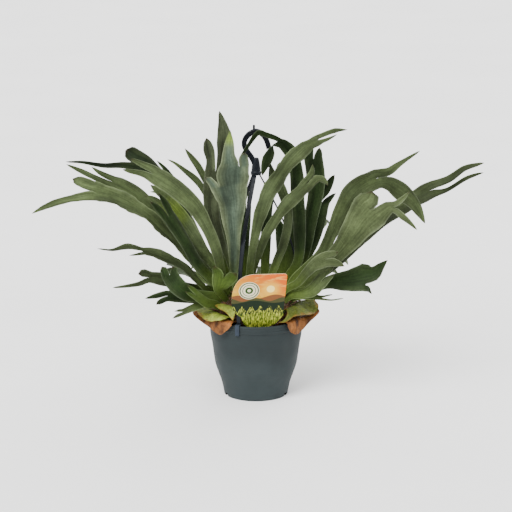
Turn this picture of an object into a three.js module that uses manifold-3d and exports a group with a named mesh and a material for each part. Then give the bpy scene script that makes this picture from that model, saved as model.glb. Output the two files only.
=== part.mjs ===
// Staghorn fern (Platycerium) standing in its hanging pot, with the three-arm hanger clipped on.
// Millimetres, +Z up. The origin is the middle of the pot's flat base; the label faces -Y.
import * as THREE from 'three';
import { mergeVertices } from 'three/addons/utils/BufferGeometryUtils.js';
import Module from 'manifold-3d';

const wasm = await Module();
wasm.setup();

// Driving dimensions
const CLEARANCE = 0.35;          // gap kept between pieces that touch on the real plant
const POT_HEIGHT = 120;
const POT_RIM_RADIUS = 70;
const POT_BASE_RADIUS = 47.4;
const POT_WALL = 2.2;
const POT_FLOOR = 3;
const POT_SIDES = 48;
const FACET_ROOM = 0.3;          // by which a flat side of the pot's wall lies inside its round
const SOIL_TOP = 108;
const HANGER_AZIMUTHS = { front: -22.5, right: 97.5, back: -142.5 };  // degrees from the front, towards +X
const COLLAR_BOTTOM = 331;
const HOOK_BAR = 7.6;
const ARM_WIDTH = 6;
const ARM_THICKNESS = 2.2;
const CARD_WIDTH = 79;
const CARD_THICKNESS = 0.9;
const SHIELD_THICKNESS = 1.5;
const BLADE_CELLS = 4;           // cells across an antler frond below its first fork
const ROW_SPACING = 24;          // distance between two rows along an antler frond
const FRAME_STEPS = 8;           // steps in which a frond's cross direction is carried along one span
const EDGE_WAVE = 2.2;           // height of the waves along a frond's edges
const EDGE_WAVE_LENGTH = 58;
const EDGE_WAVE_SHARE = 0.2;     // of the half width, where a frond is too narrow for the full wave
const EDGE_WAVE_SHIFT = 2.1;     // phase of the right edge's waves against the left's, in radians
const STIPE_LENGTH = 150;        // along it a frond thins out and its edges begin to wave
const EDGE_THINNING = 0.3;       // share of its thickness that a frond loses towards its edges
const BLADE_THICKNESS = [3.4, 1.2];  // at the crown and past the stipe
const LEAST_HALF_WIDTH = 0.6;

const GROUP = new THREE.Group();
const DEG = Math.PI / 180;
const V = (x, y, z) => new THREE.Vector3(x, y, z);

const finish = (color, roughness = 0.7, metalness = 0) =>
  new THREE.MeshStandardMaterial({ color, roughness, metalness });
const MATERIALS = {
  pot: finish(0x4f5759, 0.45),
  hanger: finish(0x2b3032, 0.5),
  soil: finish(0x3a2a1e, 0.95),
  rhizome: finish(0x6b4d2e, 0.95),
  card: finish(0xd9a05c, 0.35),
  shieldGreen: finish(0x8fa045, 0.7),
  shieldBrown: finish(0x8a5a2c, 0.8),
  frond: finish(0x5f6b48, 0.75),
  frondDark: finish(0x34432a, 0.75),
  frondPale: finish(0x84906a, 0.75),
};

// Solids

// A solid from a closed three.js geometry.
function solidOf(geometry) {
  let plain = geometry.index ? geometry.toNonIndexed() : geometry.clone();
  for (const name of Object.keys(plain.attributes)) {
    if (name !== 'position') plain.deleteAttribute(name);
  }
  plain = mergeVertices(plain, 1e-4);
  const vertProperties = new Float32Array(plain.attributes.position.array);
  const index = plain.index.array;
  const kept = [];
  for (let i = 0; i < index.length; i += 3) {
    const [a, b, c] = [index[i], index[i + 1], index[i + 2]];
    if (a !== b && b !== c && a !== c) kept.push(a, b, c);
  }
  return new wasm.Manifold(new wasm.Mesh({ numProp: 3, vertProperties, triVerts: new Uint32Array(kept) }));
}

// A solid from a list of points and a list of triangles.
function solidFrom(points, triangles) {
  const geometry = new THREE.BufferGeometry().setFromPoints(points);
  geometry.setIndex(triangles.flat());
  return solidOf(geometry);
}

// The largest of a solid's separate bodies, so that no scrap of a cut is kept.
function mainBody(solid) {
  const bodies = solid.decompose();
  return bodies.reduce((best, body) => (body.volume() > best.volume() ? body : best));
}

function add(name, solid, material) {
  const { vertProperties, triVerts } = mainBody(solid).getMesh();
  const geometry = new THREE.BufferGeometry();
  geometry.setAttribute('position', new THREE.BufferAttribute(new Float32Array(vertProperties), 3));
  geometry.setIndex(new THREE.BufferAttribute(new Uint32Array(triVerts), 1));
  geometry.computeVertexNormals();
  const mesh = new THREE.Mesh(geometry, material);
  mesh.name = name;
  GROUP.add(mesh);
}

function boxSolid(width, depth, height, matrix) {
  const geometry = new THREE.BoxGeometry(width, depth, height);
  geometry.applyMatrix4(matrix);
  return solidOf(geometry);
}

// A lathe about +Z from a profile of [radius, height] pairs.
function latheSolid(profile, sides) {
  const geometry = new THREE.LatheGeometry(profile.map(([r, z]) => new THREE.Vector2(r, z)), sides);
  geometry.rotateX(Math.PI / 2);
  const solid = solidOf(geometry);
  return solid.volume() > 0 ? solid : solidOf(flipped(geometry));
}

function flipped(geometry) {
  const turned = geometry.index ? geometry.toNonIndexed() : geometry.clone();
  const { array } = turned.attributes.position;
  for (let i = 0; i < array.length; i += 9) {
    for (let k = 0; k < 3; k += 1) {
      [array[i + 3 + k], array[i + 6 + k]] = [array[i + 6 + k], array[i + 3 + k]];
    }
  }
  return turned;
}

// A point at a radius and height, on an azimuth measured from the front towards +X.
function around(azimuth, radius, z) {
  return V(radius * Math.sin(azimuth * DEG), -radius * Math.cos(azimuth * DEG), z);
}

// Smooth paths

// A cubic through the values of a list, each entry a list of numbers; t runs from 0 to count - 1.
function smooth(list, t, startSlope) {
  const last = list.length - 1;
  const i = Math.min(Math.floor(t), last - 1);
  const f = t - i;
  const slope = (j) => {
    if (j === 0) return startSlope ?? list[1].map((v, k) => v - list[0][k]);
    if (j === last) return list[last].map((v, k) => v - list[last - 1][k]);
    return list[j + 1].map((v, k) => (v - list[j - 1][k]) / 2);
  };
  const [m0, m1] = [slope(i), slope(i + 1)];
  const [h00, h10] = [(1 + 2 * f) * (1 - f) ** 2, f * (1 - f) ** 2];
  const [h01, h11] = [f * f * (3 - 2 * f), f * f * (f - 1)];
  return list[i].map((v, k) => h00 * v + h10 * m0[k] + h01 * list[i + 1][k] + h11 * m1[k]);
}

// Sheets: open surfaces of quads that are given a thickness and closed into a solid

class Sheet {
  constructor() {
    this.points = [];
    this.normals = [];
    this.halves = [];
    this.quads = [];
  }

  vertex(point, normal, half) {
    this.points.push(point);
    this.normals.push(normal);
    this.halves.push(half);
    return this.points.length - 1;
  }

  // Adds the quads between two rows with the same number of vertices.
  join(rowA, rowB) {
    for (let i = 0; i + 1 < rowA.length; i += 1) {
      this.quads.push([rowA[i], rowA[i + 1], rowB[i + 1], rowB[i]]);
    }
  }

  // Both faces are split along the same diagonals, and a wall closes every open edge.
  solid() {
    const count = this.points.length;
    const face = (sign) => this.points.map((p, i) =>
      p.clone().addScaledVector(this.normals[i], sign * this.halves[i]));
    const triangles = [];
    const edges = new Map();
    for (const [a, b, c, d] of this.quads) {
      for (const [p, q, r] of [[a, b, c], [a, c, d]]) {
        triangles.push([p, q, r], [count + p, count + r, count + q]);
      }
      for (const [p, q] of [[a, b], [b, c], [c, d], [d, a]]) {
        if (!edges.delete(`${q}_${p}`)) edges.set(`${p}_${q}`, [p, q]);
      }
    }
    for (const [p, q] of edges.values()) {
      triangles.push([p, count + p, count + q], [p, count + q, q]);
    }
    const points = [...face(1), ...face(-1)];
    const made = solidFrom(points, triangles);
    return made.volume() > 0 ? made : solidFrom(points, triangles.map(([a, b, c]) => [a, c, b]));
  }
}

// Antler fronds

// A strap is a list of points [x, y, z, half width, roll in degrees] along its middle, and where
// it forks, the straps that go on from it: the first takes `cells` of the cells across.
const strap = (points, left, right, cells = 2) => ({ points, left, right, cells });

function bladeSheet({ facing, cup = 0.16, tree, phase = 0 }) {
  const sheet = new Sheet();
  grow(sheet, tree, BLADE_CELLS, null, { facing: V(...facing).normalize(), cup, phase, run: 0 });
  return sheet;
}

// The crown fans out to the front and back: depth grows with the distance from the crown, and each
// point slides along the sight line from the front, so that the front view keeps its outline.
const FAN = { height: 150, start: 60, reach: 200, gain: 0.9, slope: 0.25, distance: 3000 };
function fanned([x, y, z, half, roll = 0]) {
  const out = Math.max(0, (Math.hypot(x, z - FAN.height) - FAN.start) / FAN.reach);
  const depth = y * FAN.gain * out;
  return [x * (1 + depth / FAN.distance), y + depth, z - FAN.slope * depth, half, roll];
}

// Rows of one strap, carried on from its parent's last row, then its own forks.
function grow(sheet, { points, left, right, cells: split }, cells, from, style) {
  const list = points.map(fanned);
  let slope;
  if (from) {
    list.unshift([...from.centre.toArray(), from.half, from.roll]);
    const reach = V(...list[1]).distanceTo(from.centre);
    slope = [...from.tangent.clone().multiplyScalar(reach).toArray(), list[1][3] - from.half, 0];
  }
  let across = from ? from.across.clone() : null;
  let before = V(...list[0]);
  let row = from ? from.row : null;
  let run = style.run;
  let state;
  for (let span = 0; span + 1 < list.length; span += 1) {
    const length = V(...list[span]).distanceTo(V(...list[span + 1]));
    const rows = Math.max(1, Math.round(length / ROW_SPACING));
    for (let r = span === 0 && !from ? 0 : 1; r <= rows; r += 1) {
      const steps = r === 0 ? 1 : FRAME_STEPS;
      for (let step = 1; step <= steps; step += 1) {
        const t = r === 0 ? 0 : span + (r - 1 + step / steps) / rows;
        const here = V(...smooth(list, t, slope));
        const ahead = V(...smooth(list, Math.min(t + 0.01, list.length - 1), slope));
        const behind = V(...smooth(list, Math.max(t - 0.01, 0), slope));
        const tangent = ahead.sub(behind).normalize();
        across = across ?? tangent.clone().cross(style.facing);
        across.addScaledVector(tangent, -across.dot(tangent)).normalize();
        run += here.distanceTo(before);
        before = here;
        const [, , , half, roll] = smooth(list, t, slope);
        state = { centre: here, tangent, across, half: Math.max(half, LEAST_HALF_WIDTH), roll };
      }
      const next = rowOf(sheet, state, cells, run, style);
      if (row) sheet.join(row, next);
      row = next;
    }
  }
  if (!left) return;
  const turned = turnedAcross(state);
  const share = split / cells;
  const child = (cellCount, low, high, side) => ({
    centre: state.centre.clone().addScaledVector(turned, state.half * (low + high)),
    half: state.half * (high - low),
    roll: state.roll,
    tangent: state.tangent,
    across: state.across,
    row: side < 0 ? row.slice(0, cellCount + 1) : row.slice(-cellCount - 1),
  });
  const next = { ...style, run };
  grow(sheet, left, split, child(split, -0.5, share - 0.5, -1), next);
  grow(sheet, right, cells - split, child(cells - split, share - 0.5, 0.5, 1), next);
}

const turnedAcross = ({ across, tangent, roll }) => across.clone().applyAxisAngle(tangent, roll * DEG);

// One row of vertices across a strap: cupped, with waved edges, thinner towards the edges and tips.
function rowOf(sheet, state, cells, run, { cup, phase }) {
  const across = turnedAcross(state);
  const up = across.clone().cross(state.tangent).normalize();
  const fade = Math.min(run / STIPE_LENGTH, 1);
  const [thick, thin] = BLADE_THICKNESS;
  const half = (thick + (thin - thick) * fade) / 2;
  const height = Math.min(EDGE_WAVE, EDGE_WAVE_SHARE * state.half) * fade;
  const turns = (2 * Math.PI * run) / EDGE_WAVE_LENGTH + phase;
  const row = [];
  for (let i = 0; i <= cells; i += 1) {
    const u = -1 + (2 * i) / cells;
    const wave = height * u * u * Math.sin(turns + (u > 0 ? EDGE_WAVE_SHIFT : 0));
    const point = state.centre.clone()
      .addScaledVector(across, u * state.half)
      .addScaledVector(up, cup * state.half * u * u + wave);
    const normal = up.clone().addScaledVector(across, -2 * cup * u).normalize();
    row.push(sheet.vertex(point, normal, half * (1 - EDGE_THINNING * u * u)));
  }
  return row;
}

const FRONDS = [
  { name: 'antler_left_long', tone: 'frond', facing: [0.1, -0.55, 0.83], cup: 0.4,
      phase: 0.4, tree: strap(
    [[-48, -8, 150, 5], [-58, -13, 164, 6], [-70, -19, 177, 7], [-86, -25, 195, 8],
      [-106, -30, 223, 9], [-128, -33, 247, 10],
      [-163, -40, 282, 12], [-203, -45, 304, 14], [-230, -48, 313, 15]],
    strap([[-258, -52, 305, 6.5], [-283, -54, 300, 5], [-304, -55, 292, 3.5], [-321, -55, 284, 0.8]]),
    strap([[-250, -44, 325, 9], [-263, -42, 331, 6]])) },
  { name: 'antler_left_two_lobed', tone: 'frond', facing: [0, -0.85, 0.5], phase: 1.9, tree: strap(
    [[-44, -2, 150, 5], [-54, -3, 170, 5.5], [-72, -8, 188, 6.5], [-97, -12, 215, 8], [-119, -14, 245, 9],
      [-141, -16, 274, 10], [-170, -18, 302, 11], [-192, -20, 317, 11], [-206, -20, 323, 9]],
    strap([[-232, -22, 330, 4], [-252, -24, 340, 3.5], [-273, -26, 350, 0.8]]),
    strap([[-224, -18, 336, 3.5], [-238, -16, 345, 0.8]])) },
  { name: 'antler_left_knob', tone: 'frondDark', facing: [0, -0.9, 0.4], phase: 3.1, tree: strap(
    [[-42, 6, 148, 4.5], [-54, 9, 170, 5], [-70, 11, 192, 5.5], [-87, 13, 223, 6], [-103, 15, 265, 7],
      [-122, 17, 300, 8], [-143, 18, 323, 12], [-163, 19, 341, 15]],
    strap([[-192, 18, 342, 5], [-223, 17, 342, 3.6], [-253, 16, 347, 2.2], [-278, 15, 348, 0.8]]),
    strap([[-178, 22, 356, 11], [-190, 24, 364, 9]])) },
  { name: 'antler_left_broad', tone: 'frond', facing: [0.1, -0.9, 0.3], cup: 0.12,
      phase: 0.9, tree: strap(
    [[-40, -18, 152, 5], [-46, -31, 172, 5.5], [-51, -43, 200, 6.5], [-58, -49, 232, 8],
      [-70, -54, 264, 9],
      [-89, -57, 297, 11.5], [-118, -59, 324, 13.5], [-146, -60, 342, 12]],
    strap([[-163, -60, 343, 4.5], [-180, -59, 346, 3], [-190, -58, 348, 0.9]]),
    strap([[-162, -59, 356, 4.5], [-178, -58, 363, 2]])) },
  { name: 'antler_left_lit', tone: 'frond', facing: [0.1, -0.9, 0.3], phase: 3.6, tree: strap(
    [[-41, -9, 150, 4.5], [-49, -15, 176, 5], [-60, -24, 200, 6.5], [-76, -31, 222, 8.5], [-92, -34, 247, 11],
      [-109, -35, 272, 13.5], [-129, -35, 294, 13.5]],
    strap([[-147, -35, 301, 4.6], [-160, -34, 306, 1.5]]),
    strap([[-140, -34, 312, 5], [-152, -33, 322, 1.5]])) },
  { name: 'antler_left_wedge', tone: 'frondDark', facing: [0, -0.85, 0.5], phase: 2.2, tree: strap(
    [[-44, -15, 154, 5], [-54, -25.5, 170, 6], [-67, -37, 186, 7], [-86, -43, 210, 8], [-105, -45, 245, 9],
      [-125, -46, 277, 10]],
    strap([[-140, -46, 289, 5], [-152, -45, 300, 1]]),
    strap([[-130, -46, 297, 5], [-140, -45, 312, 1]])) },
  { name: 'antler_left_narrow', tone: 'frondDark', facing: [0, -0.95, 0.3], phase: 4.4, tree: strap(
    [[-33, -6, 150, 4.5], [-41, -8, 178, 5], [-54, -14, 216, 5.5], [-70, -24, 252, 6],
      [-88, -25, 284, 7],
      [-106, -25, 307, 8], [-122, -24, 325, 8]],
    strap([[-133, -24, 333, 3], [-141, -23, 340, 1]]),
    strap([[-131, -22, 343, 3], [-143, -20, 355, 1]])) },
  { name: 'antler_centre_thin_pair', tone: 'frond', facing: [0, -0.98, 0.2], phase: 5.0, tree: strap(
    [[-18, 14, 145, 4], [-30, 20, 180, 5], [-40, 22, 210, 6], [-50, 22, 247, 7], [-62, 21, 284, 8],
      [-74, 20, 308, 9]],
    strap([[-88, 19, 320, 5], [-103, 18, 333, 3.6], [-118, 17, 345, 2], [-129, 16, 351, 0.7]]),
    strap([[-83, 20, 337, 5], [-94, 20, 353, 4], [-104, 19, 367, 0.8]])) },
  { name: 'antler_front_grey', tone: 'frondPale', facing: [0, -1, 0.1], cup: 0.12,
      phase: 0.2, tree: strap(
    [[-26, -18, 140, 5], [-30, -26, 172, 5], [-32, -31, 196, 6], [-32, -38, 227, 8.5],
      [-33, -43, 251, 10.5],
      [-34, -48, 280, 16], [-34, -52, 303, 20], [-38, -54, 324, 27]],
    strap([[-68, -52, 334, 5], [-73, -50, 336, 2]]),
    strap([[-33, -56, 341, 23.5], [-31, -56, 353, 21]],
      strap([[-39, -52, 368, 9], [-38, -46, 384, 6.5], [-37.5, -39, 394, 3], [-37, -34, 401, 0.9]]),
      strap([[-18, -60, 365, 6.5], [-16, -64, 373, 3.5]]), 2), 1) },
  { name: 'antler_back_tall', tone: 'frondDark', facing: [0, -1, 0.1], phase: 1.4, tree: strap(
    [[-28, -2, 145, 5], [-38, 2, 176, 6], [-46, 4, 204, 7], [-55, 5, 235, 9], [-63, 6, 262, 11],
      [-65, 6, 286, 12], [-63, 6, 310, 14], [-59, 6, 334, 16]],
    strap([[-66, 7, 352, 6.5], [-69, 8, 368, 8], [-72, 9, 384, 3]]),
    strap([[-48, 5, 358, 8.5], [-46, 4, 382, 11], [-48, 2, 404, 7], [-53, 0, 425, 1.2]])) },
  { name: 'antler_left_low', tone: 'frond', facing: [0, -0.6, 0.8], cup: 0.3, phase: 2.7, tree: strap(
    [[-52, -12, 142, 5], [-62, -18, 152, 6], [-73, -27, 163, 6.5], [-86, -37, 180, 7],
      [-102, -46, 200, 8], [-123, -51, 215, 9],
      [-145, -54, 225, 8], [-162, -56, 229, 7]],
    strap([[-172, -60, 226, 1.8], [-182, -61, 225, 0.8]]),
    strap([[-184, -57, 237, 4.6], [-207, -58, 232, 2], [-228, -57, 234, 0.8]])) },
  { name: 'antler_left_lower', tone: 'frond', facing: [0, -0.6, 0.8], cup: 0.25, phase: 3.9, tree: strap(
    [[-50, -3, 140, 5], [-62, -6, 158, 5.5], [-84, -16, 163, 6.5], [-108, -30, 170, 8],
      [-132, -37, 182, 10],
      [-153, -41, 187, 8]],
    strap([[-170, -43, 178, 3.6], [-190, -44, 175, 2.2], [-208, -44, 173, 0.8]]),
    strap([[-162, -40, 193, 6], [-171, -40, 192, 4.5]])) },
  { name: 'antler_left_front_dark', tone: 'frondDark', facing: [0.2, -0.9, 0.4], cup: 0.12,
      phase: 0.1, tree: strap(
    [[-46, -18.5, 144, 5], [-57, -30, 155, 6], [-71, -39, 159, 7], [-86, -46, 161, 9], [-102, -53, 168, 12, -5],
      [-116, -60, 182, 12.5, -20], [-124, -66, 197, 12, -35]],
    strap([[-132, -70, 204, 5.4, -35], [-135, -72, 211, 4.6, -35]]),
    strap([[-118.5, -70, 207, 5.4, -35], [-120, -71, 211, 4.6, -35]])) },
  { name: 'antler_left_low_tip', tone: 'frondDark', facing: [0, -0.8, 0.6], phase: 1.1, tree: strap(
    [[-52, -8, 131.4, 5], [-64, -15, 145.4, 6], [-84, -29, 152, 7], [-105, -40, 157, 8], [-127, -46, 161, 8]],
    strap([[-138, -49, 154, 4], [-145, -50, 149.5, 2.2]]),
    strap([[-144, -48, 162, 3.8], [-161, -49, 158, 0.8]])) },
  { name: 'antler_left_small_low', tone: 'frond', facing: [0, -0.7, 0.7], phase: 2.0, tree: strap(
    [[-50, -16, 132, 4.5], [-62, -28, 143, 5], [-76, -40, 147, 5.5], [-90, -51, 145, 5.5],
      [-105, -56, 140, 4.5]],
    strap([[-113, -58, 135, 2.4], [-121, -59, 131, 0.8]]),
    strap([[-112, -57, 142, 2], [-118, -57, 141, 0.8]])) },
  { name: 'antler_left_short', tone: 'frond', facing: [0.2, -0.95, 0.3], phase: 2.9, tree: strap(
    [[-51, -25, 137, 5], [-61, -38, 146, 6], [-72, -49, 151, 7], [-86, -57, 164, 7]],
    strap([[-95, -61, 167, 2.4], [-102, -63, 172, 0.8]]),
    strap([[-92, -60, 175, 3.2], [-99, -62, 181, 0.8]])) },
  { name: 'antler_front_folded', tone: 'frond', facing: [0.1, -0.95, 0.1], cup: 0.1, phase: 1.6, tree: strap(
    [[-42, -22, 146, 4.5], [-50, -36, 160, 5], [-54, -49, 170, 7, -15], [-51, -57, 181, 13, -40],
      [-47, -61, 191, 17, -50]],
    strap([[-57, -62, 204, 6.5, -50], [-60, -62, 210, 4, -50]]),
    strap([[-33, -62, 195, 8, -50], [-28, -62, 198, 6, -50]])) },
  { name: 'antler_front_long', tone: 'frond', facing: [0.1, -1, 0.1], cup: 0.2, phase: 0.7, tree: strap(
    [[-8, -20, 140, 5], [-10, -30, 170, 5], [-9, -37, 197, 5.5], [-4, -44, 236, 6], [2, -50, 268, 8],
      [10, -55, 297, 10.5], [22, -59, 324, 12], [42, -63, 355, 11.5], [67, -66, 381, 12],
      [86, -67, 391, 10]],
    strap([[97, -68, 400, 3.6], [112, -66, 405, 4], [129, -64, 405, 0.8]]),
    strap([[102, -67, 393, 2.4], [114, -69, 399, 0.8]])) },
  { name: 'antler_over_hook', tone: 'frondDark', facing: [0, -1, 0], cup: 0.14, phase: 2.5, tree: strap(
    [[34, 0, 152, 5], [47, 1, 177, 6], [62, -3, 204, 7], [64, -3, 248, 9], [61, -6, 294, 10],
      [59, -11, 333, 10], [53, -16, 361, 9.5], [42, -19, 377, 9], [31, -22, 383, 9.5]],
    strap([[22, -25, 373, 6.6, 40], [17, -27, 360, 7.5, 80], [12, -28, 347, 5, 80], [9, -29, 335, 0.9, 80]]),
    strap([[13, -22, 394, 4], [3, -22, 396, 4], [-7, -23, 384, 3.6], [-15, -24, 372, 3],
      [-23, -25, 362, 0.8]])) },
  { name: 'antler_centre_tipped', tone: 'frond', facing: [0, -1, 0.1], phase: 3.3, tree: strap(
    [[4, -12, 140, 5], [-2, -17, 168, 5], [-5, -24, 192, 5.5], [4, -32, 223, 6.5], [16, -38, 253, 7],
      [29, -42, 276, 8], [45, -45, 297, 10], [60, -47, 313, 10], [72, -48, 325, 11]],
    strap([[79, -50, 341, 4.5], [81, -51, 355, 0.9]]),
    strap([[88, -50, 335, 5.5, -15], [98, -52, 332, 4, -50], [103, -54, 325, 1, -60]])) },
  { name: 'antler_right_tall_dark', tone: 'frondDark', facing: [0, -1, 0], phase: 4.0, tree: strap(
    [[44, 8, 146, 5], [56, 17, 168, 6], [66, 21, 190, 7], [75, 21, 226, 9], [82, 20, 268, 10],
      [88, 20, 302, 12], [87, 20, 328, 14], [84, 19, 350, 14]],
    strap([[77, 16, 368, 7], [76, 14, 381, 4]]),
    strap([[92, 20, 360, 5], [93, 21, 368, 2]])) },
  { name: 'antler_right_toothed', tone: 'frondDark', facing: [0, -1, 0], phase: 5.2, tree: strap(
    [[46, 14, 146, 5], [58, 27, 168, 6], [70, 35, 190, 7], [83, 37, 226, 12], [90, 38, 256, 13],
      [96, 38, 280, 13]],
    strap([[103, 37, 301, 6.5], [111, 38, 316, 4.5], [116, 39, 324, 0.9]]),
    strap([[111, 37, 290, 3.5], [118, 38, 296, 0.9]])) },
  { name: 'antler_centre_back_dark', tone: 'frondDark', facing: [0, -1, 0], phase: 0.3, tree: strap(
    [[30, 14, 148, 5], [42, 26, 168, 6], [56, 40, 192, 8], [62, 46, 216, 14], [65, 48, 238, 15]],
    strap([[58, 49, 252, 6], [54, 50, 262, 2]]),
    strap([[74, 49, 249, 6.5], [80, 48, 257, 2.5]])) },
  { name: 'antler_centre_strap', tone: 'frond', facing: [0, -1, 0], phase: 1.2, tree: strap(
    [[14, -8, 145, 4.5], [21, -14, 178, 5], [30, -18, 205, 6], [40, -20, 232, 6.5], [46, -22, 260, 6.5],
      [46, -23, 284, 6.5], [40, -24, 306, 7], [31, -24, 328, 7]],
    strap([[23, -25, 342, 3.5], [18, -26, 356, 0.9]]),
    strap([[31, -25, 344, 2.5], [34, -25, 354, 0.8]])) },
  { name: 'antler_centre_dark_broad', tone: 'frondDark', facing: [0, -1, 0], phase: 4.9, tree: strap(
    [[28, 6, 148, 5], [35, 13, 172, 7], [41, 17, 192, 11], [44, 19, 212, 14], [43, 20, 232, 14]],
    strap([[35, 20, 249, 6.5], [30, 20, 262, 2]]),
    strap([[49, 20, 249, 6.5], [55, 20, 262, 1.5]])) },
  { name: 'antler_centre_dark_strap', tone: 'frondDark', facing: [0, -1, 0], phase: 2.8, tree: strap(
    [[12, 8, 150, 5], [13, 12, 180, 6], [14, 14, 210, 7], [15, 15, 240, 7.5], [16, 15, 268, 7.5],
      [19, 15, 294, 7.5], [24, 15, 316, 7]],
    strap([[21, 15, 332, 2.6], [20, 15, 342, 0.8]]),
    strap([[30, 15, 330, 3], [35, 15, 342, 0.8]])) },
  { name: 'antler_centre_behind_arm', tone: 'frondDark', facing: [0, -1, 0], phase: 0.9, tree: strap(
    [[-14, -2, 150, 5], [-17, -3, 178, 6], [-18, -4, 205, 7], [-17, -5, 232, 7], [-15, -5, 258, 7],
      [-14, -5, 280, 7]],
    strap([[-18, -5, 294, 2.8], [-20, -5, 304, 0.8]]),
    strap([[-10, -5, 295, 2.8], [-9, -5, 308, 0.8]])) },
  { name: 'antler_right_upper', tone: 'frond', facing: [0, -0.9, 0.45], cup: 0.25,
      phase: 2.1, tree: strap(
    [[45, -4, 150, 5], [55, -7, 174, 6], [72, -11, 192, 7], [96, -13, 216, 8], [111, -14, 248, 9],
      [125, -17, 281, 12], [140, -20, 306, 16], [156, -23, 321, 16], [172, -25, 329, 15]],
    strap([[190, -27, 340, 6], [207, -28, 352, 4], [235, -30, 370, 0.8]]),
    strap([[193, -24, 322, 10], [210, -22, 310, 13], [227, -20, 294, 9], [237, -19, 279, 6],
      [246, -18, 262, 0.8]])) },
  { name: 'antler_right_flare', tone: 'frondPale', facing: [-0.1, -0.95, 0.3], cup: 0.12,
      phase: 3.5, tree: strap(
    [[44, -12, 148, 5], [55, -19, 168, 6], [72, -26, 178, 7], [100, -35, 204, 10], [119, -42, 225, 13],
      [135, -48, 247, 17], [150, -52, 271, 23], [164, -55, 289, 28]],
    strap([[163, -54, 306, 14.5], [166, -53, 316, 12]]),
    strap([[191, -56, 294, 9], [196, -56, 294, 8]],
      strap([[208, -55, 304, 4], [220, -54, 316, 0.8]]),
      strap([[210, -59, 281, 4.5], [221, -61, 272, 3], [231, -62, 262, 0.8]]), 1)) },
  { name: 'antler_right_far', tone: 'frond', facing: [0, -0.8, 0.6], cup: 0.2, phase: 4.6, tree: strap(
    [[48, -2, 142, 5], [62, -2, 160, 6], [82, 2, 172, 7], [106, 8, 187, 8], [131, 10, 208, 8],
      [168, 11, 244, 9],
      [197, 12, 268, 10], [224, 13, 286, 12], [252, 14, 303, 13]],
    strap([[282, 14, 322, 5.8], [304, 14, 338, 4.2], [322, 13, 344, 3], [333, 12, 347, 0.8]]),
    strap([[281, 16, 306, 3.4], [306, 16, 322, 3], [322, 15, 329, 2.2], [333, 15, 332, 0.8]])) },
  { name: 'antler_right_low_broad', tone: 'frondDark', facing: [-0.1, -0.8, 0.6], cup: 0.14,
      phase: 5.6, tree: strap(
    [[46, -6, 142, 5], [61, -13, 154, 5.5], [84, -18, 165, 7], [108, -23, 175, 10], [130, -27, 178, 15],
      [147, -29, 181, 19], [158, -29, 183, 21]],
    strap([[172, -28, 190, 11], [182, -26, 200, 6], [192, -24, 209, 0.8]]),
    strap([[165, -30, 165, 4], [169, -31, 160, 1]]), 3) },
  { name: 'antler_right_front_low', tone: 'frondPale', facing: [0.1, -0.8, 0.6], cup: 0.3,
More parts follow.
